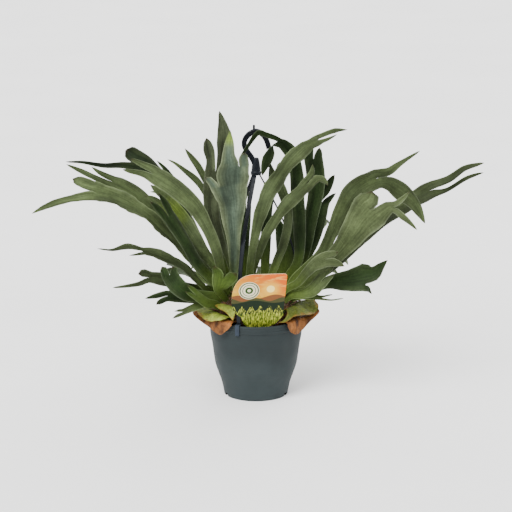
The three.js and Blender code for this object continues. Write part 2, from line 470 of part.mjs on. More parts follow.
      phase: 0.6, tree: strap(
    [[36, -16, 151, 5], [46, -29, 167, 5], [62, -43, 180, 6], [74, -50, 197, 7], [86, -57, 211, 9],
      [99, -62, 219, 11]],
    strap([[110, -64, 228, 5], [118, -65, 231, 2]]),
    strap([[114, -66, 216, 6], [127, -68, 211, 1.5]])) },
  { name: 'antler_right_front_small', tone: 'frond', facing: [0.1, -0.8, 0.6], phase: 1.7, tree: strap(
    [[41, -17, 144, 5], [52, -31, 157, 5.5], [67, -41, 162, 7], [82, -46, 169, 10], [94, -51, 183, 12]],
    strap([[103, -53, 198, 4], [113, -56, 209, 2.5]]),
    strap([[106, -55, 189, 4], [113, -55, 196, 2]])) },
  { name: 'antler_right_thin_low', tone: 'frond', facing: [0, -0.6, 0.8], phase: 2.6, tree: strap(
    [[47, -14, 138, 4.5], [59, -23, 151.5, 4.5], [80, -31, 155, 4.5], [94, -35, 155, 3.5]],
    strap([[104, -37, 159, 1.2], [111, -39, 161, 0.8]]),
    strap([[110, -40, 153, 1.2], [127, -41, 156, 0.8]])) },
  { name: 'antler_rear_left_upper', tone: 'frond', facing: [-0.3, 0.9, 0.3], phase: 0.5, tree: strap(
    [[-44, 14, 140, 5], [-58, 32, 168, 6], [-80, 55, 205, 8], [-102, 78, 242, 10], [-122, 92, 270, 13]],
    strap([[-126, 100, 288, 6], [-130, 108, 302, 3.5], [-128, 112, 310, 0.9]]),
    strap([[-138, 98, 282, 6], [-150, 104, 286, 4], [-160, 110, 284, 0.9]])) },
  { name: 'antler_rear_left_low', tone: 'frondDark', facing: [-0.2, 0.7, 0.7], phase: 1.5, tree: strap(
    [[-48, 6, 140, 5], [-64, 20, 158, 6], [-92, 42, 168, 8], [-118, 62, 174, 11]],
    strap([[-128, 80, 176, 5], [-136, 94, 172, 0.9]]),
    strap([[-132, 68, 168, 5], [-146, 78, 158, 0.9]])) },
  { name: 'antler_rear_centre_tall', tone: 'frondPale', facing: [0, 1, 0.1], phase: 2.4, tree: strap(
    [[-10, 20, 145, 5], [-20, 36, 178, 6], [-28, 54, 214, 8], [-34, 68, 250, 12], [-38, 76, 276, 16]],
    strap([[-26, 82, 294, 7], [-20, 88, 306, 4], [-18, 94, 314, 0.9]]),
    strap([[-48, 82, 296, 7], [-54, 90, 310, 4], [-56, 98, 318, 0.9]])) },
  { name: 'antler_rear_right_tall', tone: 'frond', facing: [0.2, 0.95, 0.2], phase: 3.4, tree: strap(
    [[38, 20, 146, 5], [48, 38, 172, 6], [64, 62, 203, 8], [86, 82, 228, 12], [94, 92, 244, 15]],
    strap([[100, 102, 244, 6], [107, 112, 238, 3.5], [112, 120, 230, 0.9]]),
    strap([[90, 102, 262, 7], [86, 110, 274, 4], [84, 116, 280, 0.9]])) },
  { name: 'antler_rear_right_reaching', tone: 'frond', facing: [0.2, 0.6, 0.8], phase: 4.3, tree: strap(
    [[50, 14, 138, 5], [62, 24, 152, 6], [82, 38, 166, 7], [102, 55, 178, 9], [119, 74, 188, 11]],
    strap([[129, 92, 184, 5], [137, 104, 176, 3], [141, 116, 166, 0.9]]),
    strap([[132, 80, 194, 5], [140, 86, 196, 3], [147, 92, 192, 0.9]])) },
  { name: 'antler_rear_drooping', tone: 'frondDark', facing: [0, 0.5, 0.85], phase: 5.3, tree: strap(
    [[0, 22, 140, 5], [6, 50, 164, 7], [12, 80, 172, 10], [16, 108, 164, 13]],
    strap([[8, 128, 150, 6], [2, 142, 132, 3.5], [0, 148, 116, 0.9]]),
    strap([[32, 126, 150, 6], [40, 138, 134, 3.5], [44, 144, 120, 0.9]])) },
  { name: 'antler_rear_left_arching', tone: 'frondPale', facing: [-0.1, 0.6, 0.8],
      phase: 0.8, tree: strap(
    [[-36, 16, 140, 5], [-48, 38, 164, 6], [-60, 70, 180, 9], [-70, 98, 182, 13]],
    strap([[-84, 114, 176, 6], [-94, 126, 166, 3.5], [-100, 134, 154, 0.9]]),
    strap([[-60, 118, 178, 6], [-56, 134, 168, 3.5], [-54, 144, 156, 0.9]])) },
  { name: 'antler_rear_right_low', tone: 'frond', facing: [0.2, 0.6, 0.8], phase: 1.8, tree: strap(
    [[44, 20, 138, 5], [54, 38, 154, 6], [76, 66, 166, 9], [96, 94, 168, 12]],
    strap([[100, 112, 162, 6], [102, 128, 148, 3.5], [100, 138, 136, 0.9]]),
    strap([[114, 104, 162, 5], [126, 112, 152, 0.9]])) },
];

// Pot and growing mix

// The outer wall from the foot up: [radius, height]
const POT_PROFILE = [
  [POT_BASE_RADIUS, 0], [48.9, 9], [51.8, 21], [56.2, 33.5], [60.3, 46], [62.6, 60], [65, 78],
  [67.6, 92], [68.6, 107], [POT_RIM_RADIUS, 109.5], [POT_RIM_RADIUS, POT_HEIGHT - 1.2],
  [POT_RIM_RADIUS - 1, POT_HEIGHT],
];
const wallRadius = (z) => {
  const i = POT_PROFILE.findIndex(([, height]) => height >= z);
  if (i <= 0) return POT_BASE_RADIUS;
  const [[r0, z0], [r1, z1]] = [POT_PROFILE[i - 1], POT_PROFILE[i]];
  return r0 + ((r1 - r0) * (z - z0)) / (z1 - z0);
};
const INNER_HEIGHTS = [POT_FLOOR, 21, 33.5, 46, 60, 78, 92, 104];
const INNER_RIM_RADIUS = POT_RIM_RADIUS - 2.6;
const CLIP_SEAT = 108;             // below this height the wall narrows inside the rim
const NOTCH = { width: 9, depth: 3.4, height: 4.2 };
const NOTCH_AZIMUTHS = [-110, -70, 70, 110];

function pot() {
  const inner = INNER_HEIGHTS.map((z) => [wallRadius(z) - POT_WALL, z]);
  const profile = [
    [0, 0], ...POT_PROFILE, [INNER_RIM_RADIUS, POT_HEIGHT], [INNER_RIM_RADIUS, CLIP_SEAT],
    ...inner.reverse(), [0, POT_FLOOR],
  ];
  let solid = latheSolid(profile, POT_SIDES);
  for (const azimuth of NOTCH_AZIMUTHS) {
    const place = new THREE.Matrix4().makeRotationZ(azimuth * DEG)
      .setPosition(around(azimuth, POT_BASE_RADIUS, 0));
    solid = solid.subtract(boxSolid(NOTCH.width, NOTCH.depth, 2 * NOTCH.height, place));
  }
  return solid;
}

// The card leans out over the rim: heights are along the card, from its hinge line at the rim.
const CARD = {
  lean: 20, yaw: 6, hingeY: -57, hingeZ: 121, top: 88, left: -37, corner: 5,
  shoulder: 10, foot: 58, stake: 14, point: 8, armSide: -22.5,
};

// The card's outline: square at the right, rounded off at the left, with its stake below.
function cardOutline() {
  const { left, top, corner, stake, shoulder, foot, point, armSide } = CARD;
  const right = left + CARD_WIDTH;
  const shape = new THREE.Shape();
  shape.moveTo(right - corner, top);
  shape.quadraticCurveTo(right, top, right, top - corner);
  shape.lineTo(right - 3, 15);
  shape.lineTo(right - 14, 0);
  shape.lineTo(stake / 2, -shoulder);
  shape.lineTo(stake / 2 - 2, point - foot);
  shape.lineTo(0, -foot);
  shape.lineTo(2 - stake / 2, point - foot);
  shape.lineTo(-stake / 2, -shoulder);
  shape.lineTo(armSide + 4, 2);
  shape.lineTo(armSide, 14);
  shape.quadraticCurveTo(left, 22, left, 42);
  shape.quadraticCurveTo(left, top, left + 33, top);
  shape.closePath();
  return shape;
}

function cardSolid() {
  const form = { depth: CARD_THICKNESS, bevelEnabled: false, curveSegments: 6 };
  const geometry = new THREE.ExtrudeGeometry(cardOutline(), form);
  geometry.translate(0, 0, -CARD_THICKNESS / 2);
  geometry.rotateX((90 + CARD.lean) * DEG);
  geometry.rotateZ(CARD.yaw * DEG);
  geometry.translate(0, CARD.hingeY, CARD.hingeZ);
  return solidOf(geometry);
}

// A slot for the stake and, near the top of the mix, for the whole width of the card.
const SHALLOW_SLOT = 40;
function stakeSlot() {
  const depth = CARD_THICKNESS + 2 * CLEARANCE;
  const slot = (width, height, middle) => boxSolid(width, depth, height,
    new THREE.Matrix4().makeTranslation(0, CARD.hingeY, CARD.hingeZ)
      .multiply(new THREE.Matrix4().makeRotationZ(CARD.yaw * DEG))
      .multiply(new THREE.Matrix4().makeRotationX(CARD.lean * DEG))
      .multiply(new THREE.Matrix4().makeTranslation(0, 0, middle)));
  const deep = CARD.foot + CLEARANCE;
  const open = 20;
  return slot(CARD.stake + 2 * CLEARANCE, deep + open, (open - deep) / 2)
    .add(slot(2 * (CARD_WIDTH + CARD.left), SHALLOW_SLOT, SHALLOW_SLOT / 2 - CARD.shoulder - CLEARANCE));
}

// The mix fills the pot and stands a little proud in the middle, with a slot for the stake.
const MIX_TOP = [[52, SOIL_TOP - 2], [30, SOIL_TOP + 1], [0, SOIL_TOP + 1]];
function mix() {
  const heights = [POT_FLOOR + CLEARANCE, ...INNER_HEIGHTS.slice(1, -1), 102];
  const side = heights.map((z) => [wallRadius(z) - POT_WALL - CLEARANCE - FACET_ROOM, z]);
  const solid = latheSolid([[0, POT_FLOOR + CLEARANCE], ...side, ...MIX_TOP], POT_SIDES);
  return solid.subtract(stakeSlot());
}

// Rhizome: growing points in one furry clump

// [x, y, z, radius in x, in y, in z]
const CROWNS = [
  [-46, -6, 126, 21, 24, 36],
  [-6, 2, 124, 26, 27, 44],
  [40, 0, 126, 23, 26, 40],
];
function rhizome(extra = 0) {
  const lobes = CROWNS.map(([x, y, z, a, b, c]) => {
    const ball = new THREE.SphereGeometry(1, 14, 9);
    ball.rotateX(Math.PI / 2);
    ball.scale(a + extra, b + extra, c + extra);
    ball.translate(x, y, z);
    return solidOf(ball);
  });
  const joined = lobes.reduce((sum, lobe) => sum.add(lobe));
  const floor = SOIL_TOP + 1 + CLEARANCE - extra;
  const cut = boxSolid(400, 400, 200, new THREE.Matrix4().setPosition(0, 0, floor - 100));
  return joined.subtract(cut);
}

// Hanger

// The hook's bar runs from the collar up and round, facing the front: [x, z]
const HOOK_PATH = [
  [0, 336], [-1, 345], [-6, 356], [-13, 366], [-17, 375], [-15.5, 384], [-9, 391.5], [0, 395],
  [9, 391], [15, 382.5], [19, 370],
];
const HOOK_STEPS = 30;
const HOOK_CHAMFER = 1.4;
const HOOK_STUB = { width: 4, height: 7, x: -3, z: 401 };  // a short peg on top of the bend
const COLLAR_SIDES = 20;
const COLLAR_PROFILE = [[0, 0], [7.6, 0], [7.9, 4.5], [6.8, 5.5], [6.2, 12], [5, 20], [3.6, 25], [0, 25]];
function hook() {
  const path = new THREE.CatmullRomCurve3(HOOK_PATH.map(([x, z]) => V(x, 0, z)), false, 'centripetal');
  const half = HOOK_BAR / 2;
  const flat = half - HOOK_CHAMFER;
  const ring = [[half, flat], [flat, half], [-flat, half], [-half, flat],
    [-half, -flat], [-flat, -half], [flat, -half], [half, -flat]];
  const section = new THREE.Shape(ring.map(([x, y]) => new THREE.Vector2(x, y)));
  const form = { steps: HOOK_STEPS, extrudePath: path, bevelEnabled: false };
  const bar = new THREE.ExtrudeGeometry(section, form);
  const collar = latheSolid(COLLAR_PROFILE.map(([r, z]) => [r, COLLAR_BOTTOM + z]), COLLAR_SIDES);
  const { width, height, x, z } = HOOK_STUB;
  const stub = boxSolid(width, width, height, new THREE.Matrix4().setPosition(x, 0, z));
  return solidOf(bar).add(collar).add(stub);
}

// An arm is a flat strap that rises from its clip on the rim and bows in to the collar.
const ARM_TOP = { radius: 5.5, z: COLLAR_BOTTOM - CLEARANCE };
const ARM_BOW = 17;
const ARM_STEPS = 12;
const CLIP = { width: 6.4, plate: 1.8, outside: 105, inside: 110 };
function arm(azimuth) {
  const [p, top] = [CLIP.plate, POT_HEIGHT + CLEARANCE];
  const outer = POT_RIM_RADIUS + CLEARANCE;
  const inner = INNER_RIM_RADIUS - CLEARANCE - FACET_ROOM;
  const foot = { radius: inner - p + ARM_THICKNESS / 2, z: top };
  const lean = foot.radius - ARM_TOP.radius;
  const drop = ARM_TOP.z - foot.z;
  const edge = (side) => Array.from({ length: ARM_STEPS + 1 }, (_, i) => {
    const t = i / ARM_STEPS;
    const half = (side * ARM_THICKNESS) / 2;
    return [ARM_TOP.radius + lean * t + ARM_BOW * Math.sin(Math.PI * t) + half, ARM_TOP.z - drop * t];
  });
  const rod = plateSolid([...edge(-1), ...edge(1).reverse()], ARM_WIDTH, azimuth);
  const grip = plateSolid([
    [outer, CLIP.outside], [outer + p, CLIP.outside + 1], [outer + p, top + p], [inner - p, top + p],
    [inner - p, CLIP.inside], [inner, CLIP.inside], [inner, top], [outer, top],
  ], CLIP.width, azimuth);
  return rod.add(grip);
}

// A plate of an outline [radius, height], set upright on an azimuth.
function plateSolid(outline, width, azimuth) {
  const shape = new THREE.Shape(outline.map(([r, z]) => new THREE.Vector2(r, z)));
  const geometry = new THREE.ExtrudeGeometry(shape, { depth: width, bevelEnabled: false });
  geometry.translate(0, 0, -width / 2);
  geometry.rotateX(Math.PI / 2);
  geometry.rotateZ((azimuth - 90) * DEG);
  return solidOf(geometry);
}

// Shield fronds: clasping sheets round the rhizome, some hanging over the rim

// A shield is drawn over `root`, `shoulder` and, where it passes the rim, `lip`, each [radius, height],
// down to its free edge, the `hem`, whose points are [azimuth, radius, height]. Its columns stand at
// the hem's azimuths. With a `sweep` they start out between those azimuths and reach the hem's late.
// `flute` is the depth of its folds.
const SHIELD_ROWS = 6;
const COLUMN_SPACING = 7;
const FOLD_SPACING = 9;
const SWEEP_POWER = 6;
function shield({ hem, root, shoulder, lip, sweep, flute = 2.5, phase = 0 }) {
  const [from, to] = sweep ?? [hem[0][0], hem[hem.length - 1][0]];
  const columns = Math.max(6, Math.round((to - from) / COLUMN_SPACING));
  const sheet = new Sheet();
  const at = (u, v) => {
    const [hemAzimuth, radius, z] = smooth(hem, u * (hem.length - 1));
    const rootAzimuth = sweep ? from + (to - from) * u : hemAzimuth;
    const azimuth = rootAzimuth + (hemAzimuth - rootAzimuth) * v ** SWEEP_POWER;
    const line = [root, shoulder, ...(lip ? [lip] : []), [radius, z]];
    const [r, height] = smooth(line, v * (line.length - 1));
    const ripple = flute * v * v * Math.sin(azimuth / FOLD_SPACING + phase);
    return around(azimuth, r + 0.5 * Math.abs(ripple), height + 0.5 * ripple);
  };
  const grid = [];
  for (let r = 0; r <= SHIELD_ROWS; r += 1) {
    const row = [];
    for (let c = 0; c <= columns; c += 1) {
      const [u, v] = [c / columns, r / SHIELD_ROWS];
      const step = 0.02;
      const du = at(Math.min(u + step, 1), v).sub(at(Math.max(u - step, 0), v));
      const dv = at(u, Math.min(v + step, 1)).sub(at(u, Math.max(v - step, 0)));
      row.push(sheet.vertex(at(u, v), du.cross(dv).normalize(), SHIELD_THICKNESS / 2));
    }
    grid.push(row);
    if (r) sheet.join(grid[r - 1], row);
  }
  return sheet.solid();
}

const SHIELDS = [
  { name: 'shield_right_brown', tone: 'shieldBrown', root: [50, 114], shoulder: [62, 123.5],
    lip: [75, 123.5],
    hem: [[37, 75.5, 118], [41, 76, 111], [48, 77, 105], [56, 78, 106], [66, 84, 116], [76, 94, 128],
      [84, 92, 133]] },
  { name: 'shield_right_green', tone: 'shieldGreen', root: [46, 128], shoulder: [61, 140], flute: 1.5,
    sweep: [46, 90], hem: [[27, 71.5, 125], [36, 73.5, 126], [44, 78, 133], [58, 82, 131], [72, 90, 129],
      [82, 92, 138], [90, 86, 144]] },
  { name: 'shield_left_brown', tone: 'shieldBrown', root: [52, 116], shoulder: [63, 125], lip: [75, 124],
    hem: [[-88, 86, 132], [-76, 94, 129], [-60, 84, 116], [-43, 77, 104], [-34, 76, 112],
      [-28, 75, 122]] },
  { name: 'shield_left_green', tone: 'shieldGreen', root: [50, 120], shoulder: [62, 130], lip: [76, 132],
    hem: [[-86, 84, 139], [-72, 91, 134], [-54, 88, 124], [-42, 82, 127], [-34, 76, 132]], phase: 1 },
  { name: 'shield_left_tongue', tone: 'shieldGreen', root: [48, 136], shoulder: [58, 145], flute: 1,
    hem: [[-56, 72, 145], [-46, 75, 143], [-36, 74, 139], [-28, 71, 128]] },
  { name: 'shield_rear_left', tone: 'shieldBrown', root: [46, 118], shoulder: [60, 128], lip: [76, 126],
    hem: [[-136, 75, 118], [-124, 79, 108], [-110, 82, 112], [-100, 84, 124], [-92, 82, 132]] },
  { name: 'shield_back_left', tone: 'shieldGreen', root: [30, 124], shoulder: [52, 136], lip: [72, 130],
    hem: [[-206, 76, 122], [-194, 80, 112], [-180, 79, 106], [-166, 82, 114], [-150, 75, 124]] },
  { name: 'shield_back_right', tone: 'shieldBrown', root: [36, 120], shoulder: [56, 132], lip: [75, 126],
    hem: [[103, 80, 130], [114, 84, 118], [126, 80, 108], [140, 80, 114], [149, 75, 124]], phase: 2 },
];

// Assembly

add('hanging_pot', pot(), MATERIALS.pot);
add('potting_mix', mix(), MATERIALS.soil);
add('rhizome', rhizome(), MATERIALS.rhizome);
add('hanger_hook', hook(), MATERIALS.hanger);
for (const [side, azimuth] of Object.entries(HANGER_AZIMUTHS)) {
  add(`hanger_arm_${side}`, arm(azimuth), MATERIALS.hanger);
}
add('label_card', cardSolid(), MATERIALS.card);

// Every frond is trimmed where it leaves the rhizome, so that it stands a clearance off it.
const grown = rhizome(CLEARANCE);
for (const { name, tone, ...form } of SHIELDS) {
  add(name, shield(form).subtract(grown), MATERIALS[tone]);
}
for (const { name, tone, ...form } of FRONDS) {
  add(name, bladeSheet(form).solid().subtract(grown), MATERIALS[tone]);
}

export default GROUP;
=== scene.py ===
"""A staghorn fern in its hanging pot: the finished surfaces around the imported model.

Lengths in the tables are millimetres, with +Z up and the label facing -Y. Pieces are in metres.
"""

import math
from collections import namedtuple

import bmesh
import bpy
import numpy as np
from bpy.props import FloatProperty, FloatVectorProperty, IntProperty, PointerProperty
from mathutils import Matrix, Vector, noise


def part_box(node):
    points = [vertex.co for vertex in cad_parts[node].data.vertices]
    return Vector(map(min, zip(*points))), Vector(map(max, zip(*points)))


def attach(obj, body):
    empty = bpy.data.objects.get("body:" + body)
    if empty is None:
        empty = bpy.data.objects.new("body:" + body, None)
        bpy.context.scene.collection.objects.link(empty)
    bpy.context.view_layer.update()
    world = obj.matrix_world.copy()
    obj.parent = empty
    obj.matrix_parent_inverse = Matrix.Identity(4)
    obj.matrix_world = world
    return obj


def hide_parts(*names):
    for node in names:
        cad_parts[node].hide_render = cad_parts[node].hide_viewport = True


bl_info = {
    "name": "Potted Staghorn Fern",
    "version": (1, 0, 0),
    "blender": (4, 5, 0),
    "location": "3D View > Sidebar > Fern",
    "description": "Builds the fronds, shields, pot, mix, hanger and label of a potted staghorn fern",
    "category": "Add Mesh",
}

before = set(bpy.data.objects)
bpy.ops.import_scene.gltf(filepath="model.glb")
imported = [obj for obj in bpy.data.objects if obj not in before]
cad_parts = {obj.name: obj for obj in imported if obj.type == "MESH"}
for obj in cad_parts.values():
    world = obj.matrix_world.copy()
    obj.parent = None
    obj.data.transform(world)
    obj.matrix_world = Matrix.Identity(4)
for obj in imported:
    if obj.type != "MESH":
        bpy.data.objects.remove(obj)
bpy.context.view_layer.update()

MM = 0.001
BODY = "root"


def srgb(red, green, blue):
    """Scene-linear colour of a screen colour given as 0 to 255."""
    def channel(value):
        share = value / 255
        return share / 12.92 if share <= 0.04045 else ((share + 0.055) / 1.055) ** 2.4
    return channel(red), channel(green), channel(blue)


def colour(name, description, default):
    return FloatVectorProperty(name=name, description=description, subtype="COLOR", size=3,
                               min=0, max=1, default=default)


def length(name, description, default):
    return FloatProperty(name=name, description=description, unit="LENGTH", subtype="DISTANCE",
                         precision=4, min=0, default=default)


# Settings

POT_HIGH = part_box("hanging_pot")[1]


class FernFrondSettings(bpy.types.PropertyGroup):
    fineness: IntProperty(name="Fineness", description="Fine cells in each quarter of a blade",
                          default=5, min=1, max=12)
    row_spacing: length("Row spacing", "Distance between rows along a frond", 0.005)
    ruffle: length("Ruffle", "Height of the small waves along the edges", 0.0007)
    mid_top: colour("Olive upper side", "Upper side of the olive fronds", srgb(60, 70, 43))
    mid_under: colour("Olive underside", "Underside of the olive fronds", srgb(72, 82, 54))
    dark_top: colour("Dark upper side", "Upper side of the dark fronds", srgb(25, 37, 16))
    dark_under: colour("Dark underside", "Underside of the dark fronds", srgb(38, 48, 26))
    pale_top: colour("Pale upper side", "Upper side of the paler fronds", srgb(60, 69, 43))
    pale_under: colour("Pale underside", "Underside of the paler fronds", srgb(72, 81, 56))
    slate_top: colour("Slate upper side", "Upper side of the greyish fronds", srgb(56, 62, 44))
    slate_under: colour("Slate underside", "Underside of the greyish fronds", srgb(66, 72, 54))
    grey_top: colour("Grey upper side", "Upper side of the waxy front frond", srgb(58, 69, 57))
    grey_under: colour("Grey underside", "Underside of the waxy front frond", srgb(66, 78, 61))
    fresh_top: colour("Fresh upper side", "Upper side of the young fronds", srgb(48, 64, 22))
    fresh_under: colour("Fresh underside", "Underside of the young fronds", srgb(58, 74, 31))
    crown: colour("Stipe", "Fresh green where a frond leaves the crown", srgb(84, 102, 41))
    # painted light: the green of a patch where light passes through a blade
    glow: colour("Painted light patch", "Green where light passes a blade", srgb(92, 110, 42))
    hem: colour("Hem", "Paler olive towards the edges of the waxy frond", srgb(84, 92, 64))
    tip: colour("Dry tip", "Dried ends of the lobes", srgb(44, 34, 22))
    bloom: colour("Bloom", "Waxy bloom that lies on the blades in patches", srgb(82, 94, 70))
    felt: colour("Felt", "Pale hairs that cover the blades", srgb(110, 116, 90))


class FernShieldSettings(bpy.types.PropertyGroup):
    fineness: IntProperty(name="Fineness", description="Fine cells in each cell of the solids",
                          default=7, min=1, max=12)
    thickness: length("Thickness", "Thickness of a shield", 0.0011)
    crinkle: length("Crinkle", "Height of the crinkles near the hem", 0.0016)
    fresh: colour("Fresh green", "Living part of a shield", srgb(88, 96, 32))
    fresh_deep: colour("Deep green", "Living part near the crown", srgb(46, 62, 18))
    rim: colour("Golden rim", "Drying hem of a green shield", srgb(128, 96, 38))
    dry: colour("Dry brown", "Dried shield", srgb(126, 78, 36))
    dry_deep: colour("Dark brown", "Dried shield in its folds", srgb(52, 28, 13))


class FernCrownSettings(bpy.types.PropertyGroup):
    scale_length: length("Scale length", "Length of the hairlike scales", 0.0075)
    scales: IntProperty(name="Scales", description="Scales on the rhizome", default=2600, min=0)
    scale_colour: colour("Scales", "Colour of the scales", srgb(92, 60, 30))
    chip_size: length("Chip size", "Length of a bark chip", 0.007)
    chips: IntProperty(name="Chips", description="Bark chips on the mix", default=620, min=0)
    chip_colour: colour("Bark", "Colour of the bark chips", srgb(64, 42, 26))


class FernPotSettings(bpy.types.PropertyGroup):
    rim_radius: length("Rim radius", "Outer radius of the lip", POT_HIGH.x)
    height: length("Height", "Height of the pot", POT_HIGH.z)
    wall: length("Wall", "Thickness of the wall", 0.0022)
    sides: IntProperty(name="Sides", description="Faces around the pot", default=144, min=24)
    plastic: colour("Plastic", "Matt slate plastic", srgb(42, 49, 50))
    # painted shade: the dark inside the deep drain notches, where the walls lie in shadow
    painted_notch_shade: colour("Painted notch shade", "Painted shade inside the drain notches", srgb(5, 6, 6))


class FernHangerSettings(bpy.types.PropertyGroup):
    bar: length("Bar", "Width of the hook's bar", 0.0076)
    arm_width: length("Arm width", "Width of an arm", 0.006)
    arm_thickness: length("Arm thickness", "Thickness of an arm", 0.0022)
    rib_spacing: length("Rib spacing", "Distance between the ribs in the hook", 0.0045)
    plastic: colour("Hook plastic", "Near-black plastic of hook and arms", srgb(14, 18, 24))
    clip: colour("Clip plastic", "Blue-grey plastic of the clips", srgb(36, 44, 54))


class FernLabelSettings(bpy.types.PropertyGroup):
    width: length("Width", "Width of the label", 0.079)
    height: length("Height", "Height of the label above the rim", 0.088)
    sky_high: colour("High sky", "Top of the printed sky", srgb(196, 88, 16))
    sky_low: colour("Low sky", "Bottom of the printed sky", srgb(192, 150, 40))
    far_hill: colour("Far hill", "Printed far hill", srgb(112, 70, 40))
    near_hill: colour("Near hill", "Printed near hill", srgb(22, 34, 20))
    meadow: colour("Meadow", "Printed meadow", srgb(92, 106, 24))
    paper: colour("Paper", "Unprinted edge and badge", srgb(206, 200, 168))


class FernStageSettings(bpy.types.PropertyGroup):
    elevation: FloatProperty(name="Elevation", description="Camera height above the horizon",
                             subtype="ANGLE", default=math.radians(14))
    distance: length("Distance", "Distance from the camera to the middle of the plant", 3.0)
    aim_height: length("Aim height", "Height of the middle of the picture", 0.209)
    focal: FloatProperty(name="Focal length", description="Focal length in millimetres",
                         default=143.5, min=20)
    floor: colour("Floor", "Pale floor", (0.9, 0.9, 0.895))
    key: FloatProperty(name="Key light", description="Strength of the soft light from the left",
                       default=4.6, min=0)
    around: FloatProperty(name="Light around", description="Strength of the even light around",
                          default=1.5, min=0)


# Node trees

class Nodes:
    """A node tree, with a short call that makes a node and fills its inputs."""

    def __init__(self, tree):
        self.nodes, self.links = tree.nodes, tree.links

    def put(self, socket, value):
        if isinstance(value, bpy.types.NodeSocket):
            self.links.new(value, socket)
        elif socket.type == "RGBA" and len(value) == 3:
            socket.default_value = (*value, 1)
        else:
            socket.default_value = value

    def node(self, kind, inputs=(), **values):
        """The outputs of a new node. Inputs are a list in order, or a dict by name or number."""
        made = self.nodes.new(kind)
        for key, value in values.items():
            setattr(made, key, value)
        for key, value in inputs.items() if isinstance(inputs, dict) else enumerate(inputs):
            self.put(made.inputs[key], value)
        return made.outputs


# the range that most of a noise's values lie in
NOISE_LOW, NOISE_HIGH = 0.3, 0.7


class Graph(Nodes):
    """One material's node tree, with short calls for the nodes used here."""

    def __init__(self, name):
        self.material = bpy.data.materials.new(name)
        self.material.use_nodes = True
        super().__init__(self.material.node_tree)
        self.shader = self.nodes["Principled BSDF"]

    def math(self, operation, *values):
        return self.node("ShaderNodeMath", values, operation=operation)[0]

    def mix(self, factor, first, second, blend="MIX"):
        inputs = {0: factor, 6: first, 7: second}
        return self.node("ShaderNodeMix", inputs, data_type="RGBA", blend_type=blend)[2]

    def place(self, scale=(1, 1, 1)):
        """The object's own coordinates, with each axis scaled."""
        here = self.node("ShaderNodeTexCoord")["Object"]
        return self.node("ShaderNodeMapping", {"Vector": here, "Scale": scale})[0]

    def plane(self, across, up, x_scale, y_scale):
        """Two coordinates that lie in a blade or a card, each scaled, as one vector."""
        scaled = [self.math("MULTIPLY", across, x_scale), self.math("MULTIPLY", up, y_scale)]
        return self.node("ShaderNodeCombineXYZ", scaled)[0]

    def reach(self, vector):
        return self.node("ShaderNodeVectorMath", [vector], operation="LENGTH")["Value"]

    def noise(self, scale, detail=3, roughness=0.5, vector=None):
        inputs = {"Vector": vector or self.place(), "Scale": scale, "Detail": detail}
        return self.node("ShaderNodeTexNoise", {**inputs, "Roughness": roughness})["Fac"]

    def net(self, scale, vector):
        """Distance to the walls between cells."""
        inputs = {"Vector": vector, "Scale": scale}
        return self.node("ShaderNodeTexVoronoi", inputs, feature="DISTANCE_TO_EDGE")["Distance"]

    def spread(self, value, low, high, to_low=0.0, to_high=1.0):
        """Value from low..high mapped to to_low..to_high, smoothly and clamped."""
        inputs = (value, low, high, to_low, to_high)
        return self.node("ShaderNodeMapRange", inputs, interpolation_type="SMOOTHSTEP")[0]

    def varied(self, value, low, high):
        """A noise brought to the range from low to high."""
        return self.spread(value, NOISE_LOW, NOISE_HIGH, low, high)

    def shade(self, base, value, low, high):
        """Base made darker or lighter: low to high times itself, by a value of 0 to 1."""
        grey = self.node("ShaderNodeCombineColor", [self.varied(value, low, high)] * 3)[0]
        return self.mix(1.0, base, grey, "MULTIPLY")

    def attribute(self, name):
        return self.node("ShaderNodeAttribute", attribute_name=name)["Color"]

    def uv(self, name):
        """The two coordinates of a UV map."""
        both = self.node("ShaderNodeUVMap", uv_map=name)[0]
        return self.node("ShaderNodeSeparateXYZ", [both])[:2]

    def bump(self, height, distance, strength=1.0, before=None):
        """A bumped normal, on top of the one before it."""
        inputs = {"Height": height, "Distance": distance, "Strength": strength}
        if before:
            inputs["Normal"] = before
        return self.node("ShaderNodeBump", inputs)[0]

    def finish(self, base, normal, roughness, **uniform):
        """Connects what varies, and sets what is the same all over on the shader itself."""
        inputs = {"Base Color": base, "Roughness": roughness}
        if normal:
            inputs["Normal"] = normal
        for name, value in {**inputs, **uniform}.items():
            self.put(self.shader.inputs[name.replace("_", " ")], value)
        return self.material


# Materials

# a blade at least this light carries its full bloom and felt, and a darker one carries less
PALE_BLADE = 0.045


def blade_material(settings):
    """Leathery blade: vertex tint, lengthwise streaks, patches of bloom and thin felt."""
    graph = Graph("frond_blade")
    lane, run = graph.uv("blade")
    streaks = graph.noise(1, 3, 0.6, graph.plane(lane, run, 16, 2.4))
    threads = graph.noise(1, 2, 0.6, graph.plane(lane, run, 70, 3.0))
    tint = graph.attribute("tint")
    paleness = graph.spread(tint, 0.0, PALE_BLADE)
    base = graph.shade(tint, graph.noise(30, 4), 0.78, 1.24)
    base = graph.shade(base, streaks, 0.8, 1.2)
    base = graph.shade(base, threads, 0.9, 1.08)
    base = graph.shade(base, graph.noise(260, 4, 0.7), 0.86, 1.12)
    bloom = graph.spread(graph.noise(22, 4, 0.6), 0.44, 0.68, 0.0, 0.09)
    bloom = graph.math("MULTIPLY", bloom, paleness)
    base = graph.mix(bloom, base, graph.shade(settings.bloom, streaks, 0.8, 1.15))
    hairs = graph.spread(graph.noise(1500, 2), 0.55, 0.75)
    cover = graph.spread(graph.noise(55, 3), 0.35, 0.75, 0.0, 0.1)
    cover = graph.math("MULTIPLY", cover, paleness)
    base = graph.mix(graph.math("MULTIPLY", hairs, cover), base, settings.felt)
    normal = graph.bump(streaks, 0.0006, 0.7)
    normal = graph.bump(threads, 0.0002, 0.6, normal)
    normal = graph.bump(graph.noise(420, 4, 0.6), 0.00012, 0.5, normal)
    roughness = graph.varied(graph.noise(90, 3), 0.42, 0.58)
    return graph.finish(base, normal, roughness, Specular_IOR_Level=0.05)


